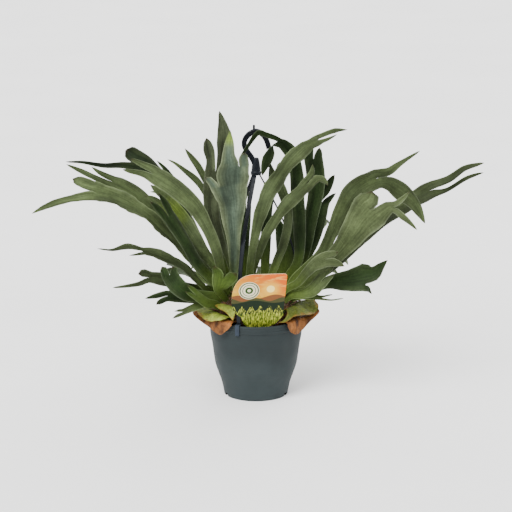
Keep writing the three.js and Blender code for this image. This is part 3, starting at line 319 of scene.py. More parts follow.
def shield_material():
    """Papery shield: vertex tint, a raised net of veins, blotches and crinkles."""
    graph = Graph("shield_blade")
    net = graph.net(150, graph.place((1, 1, 0.55)))
    ribs = graph.spread(net, 0.0, 0.16, 1.0, 0.0)
    base = graph.shade(graph.attribute("tint"), graph.noise(60, 5, 0.6), 0.66, 1.25)
    base = graph.shade(base, graph.noise(330, 4, 0.6), 0.84, 1.14)
    base = graph.shade(base, ribs, 1.0, 0.8)
    normal = graph.bump(ribs, 0.0005, 0.7)
    normal = graph.bump(graph.noise(120, 5, 0.6), 0.0022, 0.7, normal)
    roughness = graph.varied(graph.noise(80, 3), 0.45, 0.7)
    return graph.finish(base, normal, roughness, Specular_IOR_Level=0.2)


def scale_material(settings):
    """Dry, hairlike scales with a faint sheen."""
    graph = Graph("rhizome_scales")
    base = graph.shade(settings.scale_colour, graph.noise(240, 4), 0.45, 1.35)
    normal = graph.bump(graph.noise(900, 3), 0.0004, 0.7)
    return graph.finish(base, normal, 0.85, Sheen_Weight=0.2)


def bark_material(settings):
    """Dark bark with a grain along its chips."""
    graph = Graph("bark_mix")
    base = graph.shade(settings.chip_colour, graph.noise(150, 4), 0.4, 1.6)
    grain = graph.noise(500, 4, 0.7, graph.place((1, 1, 3)))
    return graph.finish(graph.shade(base, grain, 0.75, 1.15), graph.bump(grain, 0.0006), 0.9)


# (width, depth, height) of a drain notch, the radius at the ground inside which its walls are painted
# dark as the shade in the deep recess, and by how much the wall widens with the height there
NOTCH = (9, 8, 4.2)
NOTCH_SHADE_RADIUS = 0.0466
FOOT_SLOPE = 0.16


def pot_material(settings):
    """Matt injection-moulded plastic with faint turning lines and dusty patches; painted shade
    darkens it towards the top and darkens the walls of the drain notches.
    """
    graph = Graph("pot_plastic")
    lines = graph.noise(1, 2, 0.5, graph.place((30, 30, 1400)))
    dust = graph.noise(26, 5, 0.6)
    base = graph.shade(settings.plastic, dust, 0.92, 1.08)
    base = graph.shade(base, lines, 0.97, 1.03)
    height = graph.reach(graph.place((0, 0, 1)))
    # painted shade: the plastic is lighter at the foot and darker towards the top
    base = graph.shade(base, graph.spread(height, 0, settings.height), 1.1, 0.82)
    # painted shade: the wall inside a notch, low enough, takes the dark notch colour
    radius = graph.math("MULTIPLY_ADD", height, -FOOT_SLOPE, graph.reach(graph.place((1, 1, 0))))
    inside = graph.spread(radius, NOTCH_SHADE_RADIUS, NOTCH_SHADE_RADIUS + 0.5 * MM, 1, 0)
    low = graph.spread(height, NOTCH[2] * MM, (NOTCH[2] + 0.5) * MM, 1, 0)
    base = graph.mix(graph.math("MULTIPLY", inside, low), base, settings.painted_notch_shade)
    normal = graph.bump(lines, 0.00006, 0.5)
    normal = graph.bump(graph.noise(2600, 2), 0.00008, 0.5, normal)
    roughness = graph.varied(graph.noise(40, 4), 0.55, 0.65)
    return graph.finish(base, normal, roughness, Specular_IOR_Level=0.12)


def hanger_material(name, base):
    """Dark plastic with a fine texture."""
    graph = Graph(name)
    worn = graph.shade(base, graph.noise(120, 4), 0.85, 1.2)
    normal = graph.bump(graph.noise(1400, 3), 0.00003, 0.5)
    roughness = graph.varied(graph.noise(200, 3), 0.4, 0.55)
    return graph.finish(worn, normal, roughness, Specular_IOR_Level=0.16)


# (x, y) of the middle of the printed sun and badge, (radius, half width) of the badge's rings, and
# the inks that aren't settings
LABEL_SUN = (56, 62)
LABEL_BADGE = (25, 60)
BADGE_RINGS = ((13.2, 0.8), (9.4, 0.5), (4.2, 1.6))
INKS = {"cloud": srgb(222, 170, 84), "glow": srgb(226, 176, 62), "sun": srgb(240, 214, 130),
        "middle_hill": srgb(62, 62, 34), "grass": srgb(162, 168, 62), "shadow": srgb(34, 48, 12),
        "ring": srgb(40, 66, 30)}


def print_material(settings):
    """The label's printed side: a plain landscape under a sky, and a plain ringed badge."""
    graph = Graph("label_print")
    across, up = graph.uv("print")

    def hill(level, swell, spacing, shift):
        wave = graph.math("SINE", graph.math("MULTIPLY_ADD", across, 1 / spacing, shift))
        edge = graph.math("MULTIPLY_ADD", wave, swell, level)
        return graph.spread(graph.math("SUBTRACT", edge, up), -0.4, 0.4)

    def distance(x, y):
        away = [graph.math("SUBTRACT", across, x), graph.math("SUBTRACT", up, y)]
        return graph.reach(graph.node("ShaderNodeCombineXYZ", away)[0])

    def ring(around, radius, half):
        off = graph.math("ABSOLUTE", graph.math("SUBTRACT", around, radius))
        return graph.spread(off, half - 0.2, half + 0.2, 1.0, 0.0)

    slant = graph.math("MULTIPLY_ADD", across, 0.45, up)
    clouds = graph.noise(1, 4, 0.55, graph.plane(across, up, 0.05, 0.16))
    sun, badge = distance(*LABEL_SUN), distance(*LABEL_BADGE)
    grass = graph.noise(1, 3, 0.6, graph.plane(across, up, 0.75, 0.14))
    lit = graph.math("MULTIPLY", graph.spread(grass, 0.5, 0.58), hill(28, 4.5, 2.1, 0.3))
    dim = graph.math("MULTIPLY", graph.spread(grass, 0.48, 0.4), hill(24, 3.0, 2.6, 1.9))
    picture = graph.mix(graph.spread(slant, 52, 112), settings.sky_low, settings.sky_high)
    layers = [(graph.spread(clouds, 0.5, 0.66, 0, 0.6), INKS["cloud"]),
              (graph.spread(sun, 4, 20, 0.75, 0), INKS["glow"]),
              (graph.spread(sun, 5.6, 6.2, 1, 0), INKS["sun"]),
              (hill(49, 3.2, 8.5, 0.4), settings.far_hill),
              (hill(44, 3.0, 6.2, 2.1), INKS["middle_hill"]),
              (hill(40, 2.4, 9.5, 4.4), settings.near_hill),
              (hill(20, 2.2, 7.2, 1.2), settings.meadow),
              (lit, INKS["grass"]),
              (dim, INKS["shadow"]),
              (graph.spread(badge, 14.8, 15.3, 1, 0), settings.paper)]
    layers += [(ring(badge, *size), INKS["ring"]) for size in BADGE_RINGS]
    for share, ink in layers:
        picture = graph.mix(share, picture, ink)
    speckle = graph.noise(1, 2, 0.5, graph.plane(across, up, 4, 4))
    return graph.finish(picture, graph.bump(speckle, 0.00002, 0.4), 0.5, Specular_IOR_Level=0.1)


def paper_material(settings):
    """The unprinted edge and back of the card."""
    graph = Graph("label_paper")
    fibre = graph.noise(700, 4, 0.6)
    base = graph.shade(settings.paper, fibre, 0.93, 1.04)
    return graph.finish(base, graph.bump(fibre, 0.00003, 0.5), 0.45)


def floor_material(settings):
    """A plain pale floor."""
    graph = Graph("studio_floor")
    return graph.finish(graph.shade(settings.floor, graph.noise(3, 3), 0.985, 1.015), None, 0.8)


# Meshes

def add_object(name, data):
    made = bpy.data.objects.new(name, data)
    bpy.context.scene.collection.objects.link(made)
    return made


def add_shape(name, shape):
    """An object of a bmesh, which is freed."""
    mesh = bpy.data.meshes.new(name)
    shape.to_mesh(mesh)
    shape.free()
    return add_object(name, mesh)


def new_piece(name, points, faces, material=None):
    """A mesh object at the origin from points in metres."""
    mesh = bpy.data.meshes.new(name)
    mesh.from_pydata([tuple(p) for p in points], [], [tuple(f) for f in faces])
    mesh.validate()
    mesh.shade_smooth()
    if material:
        mesh.materials.append(material)
    return add_object(name, mesh)


def sharpen(piece, degrees):
    """Keeps the shading crisp where faces meet at more than an angle."""
    limit = math.radians(degrees)
    made = bmesh.new()
    made.from_mesh(piece.data)
    for edge in made.edges:
        edge.smooth = not (edge.is_manifold and edge.calc_face_angle(0) > limit)
    made.to_mesh(piece.data)
    made.free()


def bake(piece, modifier):
    """Turns a piece's one modifier into its plain mesh."""
    depsgraph = bpy.context.evaluated_depsgraph_get()
    whole = bpy.data.meshes.new_from_object(piece.evaluated_get(depsgraph))
    piece.modifiers.remove(modifier)
    piece.data = whole
    return whole


def settle(piece, slot, *nodes):
    """Puts a finished piece on the body and hides the solids it stands for; slot is not used."""
    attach(piece, BODY)
    if nodes:
        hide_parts(*nodes)


def lathe(profile, sides):
    """Points and faces of a profile of (radius, height) turned about +Z, from axis to axis."""
    points, faces, rings = [], [], []
    angles = [2 * math.pi * k / sides for k in range(sides)]
    for radius, height in profile:
        first = len(points)
        if radius < 1e-9:
            points.append((0, 0, height))
            rings.append([first] * sides)
            continue
        points += [(radius * math.cos(a), radius * math.sin(a), height) for a in angles]
        rings.append(list(range(first, first + sides)))
    for low, high in zip(rings, rings[1:]):
        for k in range(sides):
            corners = [low[k], low[(k + 1) % sides], high[(k + 1) % sides], high[k]]
            face = list(dict.fromkeys(corners))
            if len(face) > 2:
                faces.append(face)
    return points, faces


# how far to either side of a place the slope of a curve or a sheet is measured
SLOPE_STEP = 0.01
WIDE_SLOPE_STEP = 0.02


def smooth(points, t, start_slope=None):
    """A cubic through the rows of an array; t runs from 0 to the last row's number."""
    last = len(points) - 1
    i = min(int(t), last - 1)
    f = t - i

    def slope(j):
        if j == 0:
            return points[1] - points[0] if start_slope is None else start_slope
        if j == last:
            return points[last] - points[last - 1]
        return (points[j + 1] - points[j - 1]) / 2

    rise = (1 + 2 * f) * (1 - f) ** 2 * points[i] + f * f * (3 - 2 * f) * points[i + 1]
    return rise + f * (1 - f) ** 2 * slope(i) + f * f * (f - 1) * slope(i + 1)


def around(azimuth, radius, height):
    """A point at an azimuth in degrees, counted from the front towards +X."""
    angle = math.radians(azimuth)
    return Vector((radius * math.sin(angle), -radius * math.cos(angle), height))


def unit(vector):
    return vector / max(np.linalg.norm(vector), 1e-9)


def turned(vector, axis, angle):
    """A vector turned about a unit axis that it is square to."""
    return vector * math.cos(angle) + np.cross(axis, vector) * math.sin(angle)


# Sheets: leaves as a middle surface with a thickness

class Sheet:
    """Rows of vertices on a leaf's middle surface. Each holds what its colour and UV need."""

    def __init__(self):
        self.points, self.normals, self.halves, self.facts, self.quads = [], [], [], [], []

    def vertex(self, point, normal, half, facts):
        self.points.append(point)
        self.normals.append(normal)
        self.halves.append(half)
        self.facts.append(facts)
        return len(self.points) - 1

    def join(self, row_a, row_b):
        for i in range(len(row_a) - 1):
            self.quads.append((row_a[i], row_a[i + 1], row_b[i + 1], row_b[i]))

    def piece(self, name, material, tint):
        """The closed mesh; tint(points, facts, side) gives the colours of one face."""
        count = len(self.points)
        points, normals = np.array(self.points), np.array(self.normals)
        halves, facts = np.array(self.halves)[:, None], np.array(self.facts)
        both = np.vstack((points + normals * halves, points - normals * halves))
        quads = np.array(self.quads)
        sides = {}
        for a, b, c, d in self.quads:
            for edge in ((a, b), (b, c), (c, d), (d, a)):
                if sides.pop((edge[1], edge[0]), None) is None:
                    sides[edge] = edge
        walls = [(a, a + count, b + count, b) for a, b in sides]
        faces = [*map(tuple, quads), *map(tuple, quads[:, ::-1] + count), *walls]
        if not points_outward(both, faces):
            faces = [face[::-1] for face in faces]
        made = new_piece(name, both * MM, faces, material)
        colours = np.vstack((tint(points, facts, 1), tint(points, facts, -1)))
        layer = made.data.color_attributes.new("tint", "FLOAT_COLOR", "POINT")
        layer.data.foreach_set("color", np.hstack((colours, np.ones((2 * count, 1)))).ravel())
        layer = made.data.uv_layers.new(name="blade")
        corners = np.zeros(len(made.data.loops), np.int32)
        made.data.loops.foreach_get("vertex_index", corners)
        layer.data.foreach_set("uv", np.vstack((facts[:, :2], facts[:, :2]))[corners].ravel())
        sharpen(made, 60)
        return made


def points_outward(points, faces):
    """True if the closed mesh's volume is positive."""
    volume = 0.0
    for face in faces:
        first = points[face[0]]
        for b, c in zip(face[1:], face[2:]):
            volume += np.dot(first, np.cross(points[b], points[c]))
    return volume > 0


# Antler fronds

# cells across a blade before they are made finer, and its thickness at the crown and further out
BLADE_CELLS = 4
BLADE_THICKNESS = (3.0, 1.0)
STIPE_LENGTH = 150
EDGE_THINNING = 0.62
LEAST_HALF_WIDTH = 0.35
LOBE_ROUNDING = 0.9
LEAST_ROUNDING = 0.02
EDGE_UNEVENNESS = 0.05
UNEVEN_LENGTH = 16
EDGE_WAVE = 2.2
EDGE_WAVE_LENGTH = 58
EDGE_WAVE_SHARE = 0.2
EDGE_WAVE_SHIFT = 2.1
RUFFLE_LENGTH = 17
RUFFLE_SHARE = 0.06
FRAME_STEP = 3.0
FAN = {"height": 150, "start": 60, "reach": 200, "gain": 0.9, "slope": 0.25, "distance": 3000}

# a blade's UV map counts its length in these, and a strap that forks has its tips this far off
UV_LENGTH = 100
NO_TIP = 1e3

Strap = namedtuple("Strap", "points left right cells", defaults=(None, None, 2))
Frond = namedtuple("Frond", "name tone facing tree cup phase glow shade")

# where a strap is at one row: its frame, half width and roll
State = namedtuple("State", "centre tangent across half roll")


def strap(points, left, right, cells=2):
    """Points (x, y, z, half width, roll) along a strap, and the two straps that it forks into."""
    left, right = (part if isinstance(part, Strap) else Strap(part) for part in (left, right))
    return Strap(points, left, right, cells)


def frond(name, tone, facing, stem, left, right, cells=2, cup=0.16, phase=0.0, glow=None, shade=1.0):
    """Glow is (x, z, radius) of a patch of painted light, greener where light passes the blade. Shade
    scales the colours: partly the frond's own tone, partly painted light and shade.
    """
    return Frond(name, tone, facing, strap(stem, left, right, cells), cup, phase, glow, shade)


FRONDS = [
    frond("antler_left_long", "mid", (0.1, -0.55, 0.83), phase=0.4, cup=0.4, shade=1.3,
          stem=[(-48, -8, 150, 5), (-58, -13, 164, 6), (-70, -19, 177, 7), (-86, -25, 195, 8),
                (-106, -30, 223, 9), (-128, -33, 247, 10), (-163, -40, 282, 12), (-203, -45, 304, 14),
                (-230, -48, 313, 15)],
          left=[(-258, -52, 305, 6.5), (-283, -54, 300, 5), (-304, -55, 292, 3.5),
                (-321, -55, 284, 0.8)],
          right=[(-250, -44, 325, 9), (-263, -42, 331, 6)]),
    frond("antler_left_two_lobed", "mid", (0, -0.85, 0.5), phase=1.9,
          stem=[(-44, -2, 150, 5), (-54, -3, 170, 5.5), (-72, -8, 188, 6.5), (-97, -12, 215, 8),
                (-119, -14, 245, 9), (-141, -16, 274, 10), (-170, -18, 302, 11), (-192, -20, 317, 11),
                (-206, -20, 323, 9)],
          left=[(-232, -22, 330, 4), (-252, -24, 340, 3.5), (-273, -26, 350, 0.8)],
          right=[(-224, -18, 336, 3.5), (-238, -16, 345, 0.8)]),
    frond("antler_left_knob", "dark", (0, -0.9, 0.4), phase=3.1, shade=0.45,
          stem=[(-42, 6, 148, 4.5), (-54, 9, 170, 5), (-70, 11, 192, 5.5), (-87, 13, 223, 6),
                (-103, 15, 265, 7), (-122, 17, 300, 8), (-143, 18, 323, 12), (-163, 19, 341, 15)],
          left=[(-192, 18, 342, 5), (-223, 17, 342, 3.6), (-253, 16, 347, 2.2), (-278, 15, 348, 0.8)],
          right=[(-178, 22, 356, 11), (-190, 24, 364, 9)]),
    frond("antler_left_broad", "mid", (0.1, -0.9, 0.3), phase=0.9, cup=0.12,
          stem=[(-40, -18, 152, 5), (-46, -31, 172, 5.5), (-51, -43, 200, 6.5), (-58, -49, 232, 8),
                (-70, -54, 264, 9), (-89, -57, 297, 11.5), (-118, -59, 324, 13.5),
                (-146, -60, 342, 12)],
          left=[(-163, -60, 343, 4.5), (-180, -59, 346, 3), (-190, -58, 348, 0.9)],
          right=[(-162, -59, 356, 4.5), (-178, -58, 363, 2)]),
    frond("antler_left_lit", "mid", (0.1, -0.9, 0.3), phase=3.6, shade=1.25, glow=(-117, 288, 22),
          stem=[(-41, -9, 150, 4.5), (-49, -15, 176, 5), (-60, -24, 200, 6.5), (-76, -31, 222, 8.5),
                (-92, -34, 247, 11), (-109, -35, 272, 13.5), (-129, -35, 294, 13.5)],
          left=[(-147, -35, 301, 4.6), (-160, -34, 306, 1.5)],
          right=[(-140, -34, 312, 5), (-152, -33, 322, 1.5)]),
    frond("antler_left_wedge", "dark", (0, -0.85, 0.5), phase=2.2,
          stem=[(-44, -15, 154, 5), (-54, -25.5, 170, 6), (-67, -37, 186, 7), (-86, -43, 210, 8),
                (-105, -45, 245, 9), (-125, -46, 277, 10)],
          left=[(-140, -46, 289, 5), (-152, -45, 300, 1)],
          right=[(-130, -46, 297, 5), (-140, -45, 312, 1)]),
    frond("antler_left_narrow", "dark", (0, -0.95, 0.3), phase=4.4,
          stem=[(-33, -6, 150, 4.5), (-41, -8, 178, 5), (-54, -14, 216, 5.5), (-70, -24, 252, 6),
                (-88, -25, 284, 7), (-106, -25, 307, 8), (-122, -24, 325, 8)],
          left=[(-133, -24, 333, 3), (-141, -23, 340, 1)],
          right=[(-131, -22, 343, 3), (-143, -20, 355, 1)]),
    frond("antler_centre_thin_pair", "mid", (0, -0.98, 0.2), phase=5.0,
          stem=[(-18, 14, 145, 4), (-30, 20, 180, 5), (-40, 22, 210, 6), (-50, 22, 247, 7),
                (-62, 21, 284, 8), (-74, 20, 308, 9)],
          left=[(-88, 19, 320, 5), (-103, 18, 333, 3.6), (-118, 17, 345, 2), (-129, 16, 351, 0.7)],
          right=[(-83, 20, 337, 5), (-94, 20, 353, 4), (-104, 19, 367, 0.8)]),
    frond("antler_front_grey", "grey", (0, -1, 0.1), phase=0.2, cup=0.12, glow=(-37, 399, 9), cells=1,
          stem=[(-26, -18, 140, 5), (-30, -26, 172, 5), (-32, -31, 196, 6), (-32, -38, 227, 8.5),
                (-33, -43, 251, 10.5), (-34, -48, 280, 16), (-34, -52, 303, 20), (-38, -54, 324, 27)],
          left=[(-68, -52, 334, 5), (-73, -50, 336, 2)],
          right=strap([(-33, -56, 341, 23.5), (-31, -56, 353, 21)],
                      [(-39, -52, 368, 9), (-38, -46, 384, 6.5), (-37.5, -39, 394, 3),
                       (-37, -34, 401, 0.9)],
                      [(-18, -60, 365, 6.5), (-16, -64, 373, 3.5)])),
    frond("antler_back_tall", "slate", (0, -1, 0.1), phase=1.4,
          stem=[(-28, -2, 145, 5), (-38, 2, 176, 6), (-46, 4, 204, 7), (-55, 5, 235, 9),
                (-63, 6, 262, 11), (-65, 6, 286, 12), (-63, 6, 310, 14), (-59, 6, 334, 16)],
          left=[(-66, 7, 352, 6.5), (-69, 8, 368, 8), (-72, 9, 384, 3)],
          right=[(-48, 5, 358, 8.5), (-46, 4, 382, 11), (-48, 2, 404, 7), (-53, 0, 425, 1.2)]),
    frond("antler_left_low", "mid", (0, -0.6, 0.8), phase=2.7, cup=0.3, shade=0.6,
          stem=[(-52, -12, 142, 5), (-62, -18, 152, 6), (-73, -27, 163, 6.5), (-86, -37, 180, 7),
                (-102, -46, 200, 8), (-123, -51, 215, 9), (-145, -54, 225, 8), (-162, -56, 229, 7)],
          left=[(-172, -60, 226, 1.8), (-182, -61, 225, 0.8)],
          right=[(-184, -57, 237, 4.6), (-207, -58, 232, 2), (-228, -57, 234, 0.8)]),
    frond("antler_left_lower", "mid", (0, -0.6, 0.8), phase=3.9, cup=0.25, shade=0.6,
          stem=[(-50, -3, 140, 5), (-62, -6, 158, 5.5), (-84, -16, 163, 6.5), (-108, -30, 170, 8),
                (-132, -37, 182, 10), (-153, -41, 187, 8)],
          left=[(-170, -43, 178, 3.6), (-190, -44, 175, 2.2), (-208, -44, 173, 0.8)],
          right=[(-162, -40, 193, 6), (-171, -40, 192, 4.5)]),
    frond("antler_left_front_dark", "dark", (0.2, -0.9, 0.4), phase=0.1, cup=0.12, shade=1.8,
          stem=[(-46, -18.5, 144, 5), (-57, -30, 155, 6), (-71, -39, 159, 7), (-86, -46, 161, 9),
                (-102, -53, 168, 12, -5), (-116, -60, 182, 12.5, -20), (-124, -66, 197, 12, -35)],
          left=[(-132, -70, 204, 5.4, -35), (-135, -72, 211, 4.6, -35)],
          right=[(-118.5, -70, 207, 5.4, -35), (-120, -71, 211, 4.6, -35)]),
    frond("antler_left_low_tip", "dark", (0, -0.8, 0.6), phase=1.1,
          stem=[(-52, -8, 131.4, 5), (-64, -15, 145.4, 6), (-84, -29, 152, 7), (-105, -40, 157, 8),
                (-127, -46, 161, 8)],
          left=[(-138, -49, 154, 4), (-145, -50, 149.5, 2.2)],
          right=[(-144, -48, 162, 3.8), (-161, -49, 158, 0.8)]),
    frond("antler_left_small_low", "mid", (0, -0.7, 0.7), phase=2.0,
          stem=[(-50, -16, 132, 4.5), (-62, -28, 143, 5), (-76, -40, 147, 5.5), (-90, -51, 145, 5.5),
                (-105, -56, 140, 4.5)],
          left=[(-113, -58, 135, 2.4), (-121, -59, 131, 0.8)],
          right=[(-112, -57, 142, 2), (-118, -57, 141, 0.8)]),
    frond("antler_left_short", "fresh", (0.2, -0.95, 0.3), phase=2.9,
          stem=[(-51, -25, 137, 5), (-61, -38, 146, 6), (-72, -49, 151, 7), (-86, -57, 164, 7)],
          left=[(-95, -61, 167, 2.4), (-102, -63, 172, 0.8)],
          right=[(-92, -60, 175, 3.2), (-99, -62, 181, 0.8)]),
    frond("antler_front_folded", "fresh", (0.1, -0.95, 0.1), phase=1.6, cup=0.1,
          stem=[(-42, -22, 146, 4.5), (-50, -36, 160, 5), (-54, -49, 170, 7, -15),
                (-51, -57, 181, 13, -40), (-47, -61, 191, 17, -50)],
          left=[(-57, -62, 204, 6.5, -50), (-60, -62, 210, 4, -50)],
          right=[(-33, -62, 195, 8, -50), (-28, -62, 198, 6, -50)]),
    frond("antler_front_long", "mid", (0.1, -1, 0.1), phase=0.7, cup=0.2,
          stem=[(-8, -20, 140, 5), (-10, -30, 170, 5), (-9, -37, 197, 5.5), (-4, -44, 236, 6),
                (2, -50, 268, 8), (10, -55, 297, 10.5), (22, -59, 324, 12), (42, -63, 355, 11.5),
                (67, -66, 381, 12), (86, -67, 391, 10)],
          left=[(97, -68, 400, 3.6), (112, -66, 405, 4), (129, -64, 405, 0.8)],
          right=[(102, -67, 393, 2.4), (114, -69, 399, 0.8)]),
    frond("antler_over_hook", "dark", (0, -1, 0), phase=2.5, cup=0.14,
          stem=[(34, 0, 152, 5), (47, 1, 177, 6), (62, -3, 204, 7), (64, -3, 248, 9), (61, -6, 294, 10),
                (59, -11, 333, 10), (53, -16, 361, 9.5), (42, -19, 377, 9), (31, -22, 383, 9.5)],
          left=[(22, -25, 373, 6.6, 40), (17, -27, 360, 7.5, 80), (12, -28, 347, 5, 80),
                (9, -29, 335, 0.9, 80)],
          right=[(13, -22, 394, 4), (3, -22, 396, 4), (-7, -23, 384, 3.6), (-15, -24, 372, 3),
                 (-23, -25, 362, 0.8)]),
    frond("antler_centre_tipped", "mid", (0, -1, 0.1), phase=3.3,
          stem=[(4, -12, 140, 5), (-2, -17, 168, 5), (-5, -24, 192, 5.5), (4, -32, 223, 6.5),
                (16, -38, 253, 7), (29, -42, 276, 8), (45, -45, 297, 10), (60, -47, 313, 10),
                (72, -48, 325, 11)],
          left=[(79, -50, 341, 4.5), (81, -51, 355, 0.9)],
          right=[(88, -50, 335, 5.5, -15), (98, -52, 332, 4, -50), (103, -54, 325, 1, -60)]),
    frond("antler_right_tall_dark", "dark", (0, -1, 0), phase=4.0,
          stem=[(44, 8, 146, 5), (56, 17, 168, 6), (66, 21, 190, 7), (75, 21, 226, 9),
                (82, 20, 268, 10), (88, 20, 302, 12), (87, 20, 328, 14), (84, 19, 350, 14)],
          left=[(77, 16, 368, 7), (76, 14, 381, 4)],
          right=[(92, 20, 360, 5), (93, 21, 368, 2)]),
    frond("antler_right_toothed", "dark", (0, -1, 0), phase=5.2,
          stem=[(46, 14, 146, 5), (58, 27, 168, 6), (70, 35, 190, 7), (83, 37, 226, 12),
                (90, 38, 256, 13), (96, 38, 280, 13)],
          left=[(103, 37, 301, 6.5), (111, 38, 316, 4.5), (116, 39, 324, 0.9)],
          right=[(111, 37, 290, 3.5), (118, 38, 296, 0.9)]),
    frond("antler_centre_back_dark", "dark", (0, -1, 0), phase=0.3,
          stem=[(30, 14, 148, 5), (42, 26, 168, 6), (56, 40, 192, 8), (62, 46, 216, 14),
                (65, 48, 238, 15)],
          left=[(58, 49, 252, 6), (54, 50, 262, 2)],
          right=[(74, 49, 249, 6.5), (80, 48, 257, 2.5)]),
    frond("antler_centre_strap", "mid", (0, -1, 0), phase=1.2, shade=0.55,
          stem=[(14, -8, 145, 4.5), (21, -14, 178, 5), (30, -18, 205, 6), (40, -20, 232, 6.5),
                (46, -22, 260, 6.5), (46, -23, 284, 6.5), (40, -24, 306, 7), (31, -24, 328, 7)],
          left=[(23, -25, 342, 3.5), (18, -26, 356, 0.9)],
          right=[(31, -25, 344, 2.5), (34, -25, 354, 0.8)]),
    frond("antler_centre_dark_broad", "dark", (0, -1, 0), phase=4.9,
          stem=[(28, 6, 148, 5), (35, 13, 172, 7), (41, 17, 192, 11), (44, 19, 212, 14),
                (43, 20, 232, 14)],
          left=[(35, 20, 249, 6.5), (30, 20, 262, 2)],
          right=[(49, 20, 249, 6.5), (55, 20, 262, 1.5)]),
    frond("antler_centre_dark_strap", "dark", (0, -1, 0), phase=2.8,
          stem=[(12, 8, 150, 5), (13, 12, 180, 6), (14, 14, 210, 7), (15, 15, 240, 7.5),
                (16, 15, 268, 7.5), (19, 15, 294, 7.5), (24, 15, 316, 7)],
          left=[(21, 15, 332, 2.6), (20, 15, 342, 0.8)],
          right=[(30, 15, 330, 3), (35, 15, 342, 0.8)]),
    frond("antler_centre_behind_arm", "dark", (0, -1, 0), phase=0.9,
          stem=[(-14, -2, 150, 5), (-17, -3, 178, 6), (-18, -4, 205, 7), (-17, -5, 232, 7),
                (-15, -5, 258, 7), (-14, -5, 280, 7)],
          left=[(-18, -5, 294, 2.8), (-20, -5, 304, 0.8)],
          right=[(-10, -5, 295, 2.8), (-9, -5, 308, 0.8)]),
    frond("antler_right_upper", "mid", (0, -0.9, 0.45), phase=2.1, cup=0.25, shade=0.85,
          stem=[(45, -4, 150, 5), (55, -7, 174, 6), (72, -11, 192, 7), (96, -13, 216, 8),
                (111, -14, 248, 9), (125, -17, 281, 12), (140, -20, 306, 16), (156, -23, 321, 16),
                (172, -25, 329, 15)],
          left=[(190, -27, 340, 6), (207, -28, 352, 4), (235, -30, 370, 0.8)],
          right=[(193, -24, 322, 10), (210, -22, 310, 13), (227, -20, 294, 9), (237, -19, 279, 6),
                 (246, -18, 262, 0.8)]),
    frond("antler_right_flare", "pale", (-0.1, -0.95, 0.3), phase=3.5, cup=0.12,
          stem=[(44, -12, 148, 5), (55, -19, 168, 6), (72, -26, 178, 7), (100, -35, 204, 10),
                (119, -42, 225, 13), (135, -48, 247, 17), (150, -52, 271, 23), (164, -55, 289, 28)],
          left=[(163, -54, 306, 14.5), (166, -53, 316, 12)],
          right=strap([(191, -56, 294, 9), (196, -56, 294, 8)],
                      [(208, -55, 304, 4), (220, -54, 316, 0.8)],
                      [(210, -59, 281, 4.5), (221, -61, 272, 3), (231, -62, 262, 0.8)], 1)),
    frond("antler_right_far", "mid", (0, -0.8, 0.6), phase=4.6, cup=0.2, shade=0.45,
          stem=[(48, -2, 142, 5), (62, -2, 160, 6), (82, 2, 172, 7), (106, 8, 187, 8),
                (131, 10, 208, 8), (168, 11, 244, 9), (197, 12, 268, 10), (224, 13, 286, 12),
                (252, 14, 303, 13)],
          left=[(282, 14, 322, 5.8), (304, 14, 338, 4.2), (322, 13, 344, 3), (333, 12, 347, 0.8)],
          right=[(281, 16, 306, 3.4), (306, 16, 322, 3), (322, 15, 329, 2.2), (333, 15, 332, 0.8)]),
    frond("antler_right_low_broad", "dark", (-0.1, -0.8, 0.6), phase=5.6, cup=0.14, shade=1.35, cells=3,
          stem=[(46, -6, 142, 5), (61, -13, 154, 5.5), (84, -18, 165, 7), (108, -23, 175, 10),
                (130, -27, 178, 15), (147, -29, 181, 19), (158, -29, 183, 21)],
          left=[(172, -28, 190, 11), (182, -26, 200, 6), (192, -24, 209, 0.8)],
          right=[(165, -30, 165, 4), (169, -31, 160, 1)]),
    frond("antler_right_front_low", "pale", (0.1, -0.8, 0.6), phase=0.6, cup=0.3,
          stem=[(36, -16, 151, 5), (46, -29, 167, 5), (62, -43, 180, 6), (74, -50, 197, 7),
                (86, -57, 211, 9), (99, -62, 219, 11)],
          left=[(110, -64, 228, 5), (118, -65, 231, 2)],
          right=[(114, -66, 216, 6), (127, -68, 211, 1.5)]),
    frond("antler_right_front_small", "mid", (0.1, -0.8, 0.6), phase=1.7,
          stem=[(41, -17, 144, 5), (52, -31, 157, 5.5), (67, -41, 162, 7), (82, -46, 169, 10),
                (94, -51, 183, 12)],
          left=[(103, -53, 198, 4), (113, -56, 209, 2.5)],
          right=[(106, -55, 189, 4), (113, -55, 196, 2)]),
    frond("antler_right_thin_low", "mid", (0, -0.6, 0.8), phase=2.6,
          stem=[(47, -14, 138, 4.5), (59, -23, 151.5, 4.5), (80, -31, 155, 4.5), (94, -35, 155, 3.5)],
          left=[(104, -37, 159, 1.2), (111, -39, 161, 0.8)],
          right=[(110, -40, 153, 1.2), (127, -41, 156, 0.8)]),
    frond("antler_rear_left_upper", "mid", (-0.3, 0.9, 0.3), phase=0.5,
          stem=[(-44, 14, 140, 5), (-58, 32, 168, 6), (-80, 55, 205, 8), (-102, 78, 242, 10),
                (-122, 92, 270, 13)],
          left=[(-126, 100, 288, 6), (-130, 108, 302, 3.5), (-128, 112, 310, 0.9)],
          right=[(-138, 98, 282, 6), (-150, 104, 286, 4), (-160, 110, 284, 0.9)]),
    frond("antler_rear_left_low", "dark", (-0.2, 0.7, 0.7), phase=1.5,
          stem=[(-48, 6, 140, 5), (-64, 20, 158, 6), (-92, 42, 168, 8), (-118, 62, 174, 11)],
          left=[(-128, 80, 176, 5), (-136, 94, 172, 0.9)],
          right=[(-132, 68, 168, 5), (-146, 78, 158, 0.9)]),
    frond("antler_rear_centre_tall", "pale", (0, 1, 0.1), phase=2.4,
          stem=[(-10, 20, 145, 5), (-20, 36, 178, 6), (-28, 54, 214, 8), (-34, 68, 250, 12),
                (-38, 76, 276, 16)],
